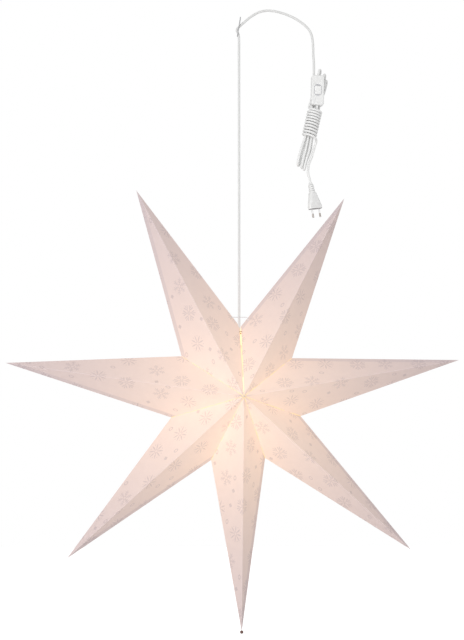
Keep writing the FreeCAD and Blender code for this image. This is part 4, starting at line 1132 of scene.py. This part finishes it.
rocker_collar = make_rocker_collar()
print("collar", len(rocker_collar.data.polygons), "faces")

# %% [markdown]
# ## The plug
# The plug's body is a flat wedge that widens from its neck to the face with the pins. A block is
# scaled at its ends and its edges are rounded. The strain relief is a short tapered stack of ribs:
# a disc is drawn up step by step, drawn in for each groove and out again for each rib.

# %% Plug body
PLUG_WIDTH, PLUG_DEPTH, PLUG_HEIGHT = 0.0335, 0.0128, 0.038
SHOULDER_LOW, SHOULDER_HIGH = 0.006, 0.031


def make_plug_body():
    start_clean()
    bpy.ops.mesh.primitive_cube_add(size=1, location=(0, 0, PLUG_HEIGHT / 2))
    body = bpy.context.object
    body.name = "plug_body_moulded"
    body.scale = (PLUG_WIDTH, PLUG_DEPTH, PLUG_HEIGHT)
    settle(body)
    edit(body)
    for height in (SHOULDER_LOW, SHOULDER_HIGH):
        bpy.ops.mesh.select_all(action="SELECT")
        bpy.ops.mesh.bisect(plane_co=(0, 0, height), plane_no=(0, 0, 1))
    done()
    for height, sizes in ((PLUG_HEIGHT, (0.46, 0.97, 1)), (SHOULDER_HIGH, (0.60, 1, 1)),
                          (0.0, (0.97, 0.94, 1))):
        edit(body)
        choose(body, "vertices", lambda vertex: abs(vertex.co.z - height) < 0.0005)
        bpy.ops.transform.resize(value=sizes)
        done()
    edit(body)
    heights = [vertex.co.z for vertex in body.data.vertices]
    choose(body, "edges", lambda edge: abs(heights[edge.vertices[0]] - heights[edge.vertices[1]]) > 0.003)
    bpy.ops.mesh.bevel(offset=0.0042, segments=5)
    choose(body, "faces", lambda face: abs(face.normal.z) > 0.9)
    bpy.ops.mesh.bevel(offset=0.0009, segments=3)
    done()
    body.data.materials.append(plug_shell)
    body.data.materials.append(shaded_plug_face)
    # The faces at the bottom of the plug take the dark grey of painted shade.
    for face in body.data.polygons:
        face.material_index = 1 if face.center.z < 0.0011 else 0
    body.matrix_world = PLUG_PLACE
    settle(body)
    bpy.ops.object.shade_smooth_by_angle(angle=math.radians(35))
    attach(body, "suspension")
    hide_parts("plug_body")
    return body


plug_body = make_plug_body()
print("plug body", len(plug_body.data.polygons), "faces")

# %% Strain relief
def make_relief():
    start_clean()
    bpy.ops.mesh.primitive_circle_add(vertices=40, radius=0.0069, fill_type="NGON",
                                      location=(0, 0, 0.0372))
    relief = bpy.context.object
    relief.name = "plug_relief_moulded"
    settle(relief)
    edit(relief)
    bpy.ops.mesh.select_all(action="SELECT")
    ribs, waist, taper = 4, 0.62, 0.965
    rib = ((0.0031, 1), (0.0002, waist), (0.0011, 1), (0.0002, taper / waist))
    for rise, scale in rib * ribs + ((0.0004, 0.78), (0.0050, 0.78)):
        bpy.ops.mesh.extrude_region_move(TRANSFORM_OT_translate={"value": (0, 0, rise)})
        bpy.ops.transform.resize(value=(scale, scale, 1))
    bpy.ops.mesh.select_all(action="SELECT")
    bpy.ops.mesh.normals_make_consistent(inside=False)
    done()
    apply_modifier(relief, "BEVEL", width=0.0003, segments=2, limit_method="ANGLE",
                   angle_limit=math.radians(50))
    relief.matrix_world = PLUG_PLACE
    settle(relief)
    bpy.ops.object.shade_smooth_by_angle(angle=math.radians(40))
    relief.data.materials.append(plug_shell)
    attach(relief, "suspension")
    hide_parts("plug_strain_relief")
    return relief


plug_relief = make_relief()
print("strain relief", len(plug_relief.data.polygons), "faces")

# %% [markdown]
# ## Finish
# The scene is left in object mode with nothing selected, and is shown through the plain Standard view.

# %% Finish
start_clean()
bpy.context.scene.view_settings.view_transform = "Standard"
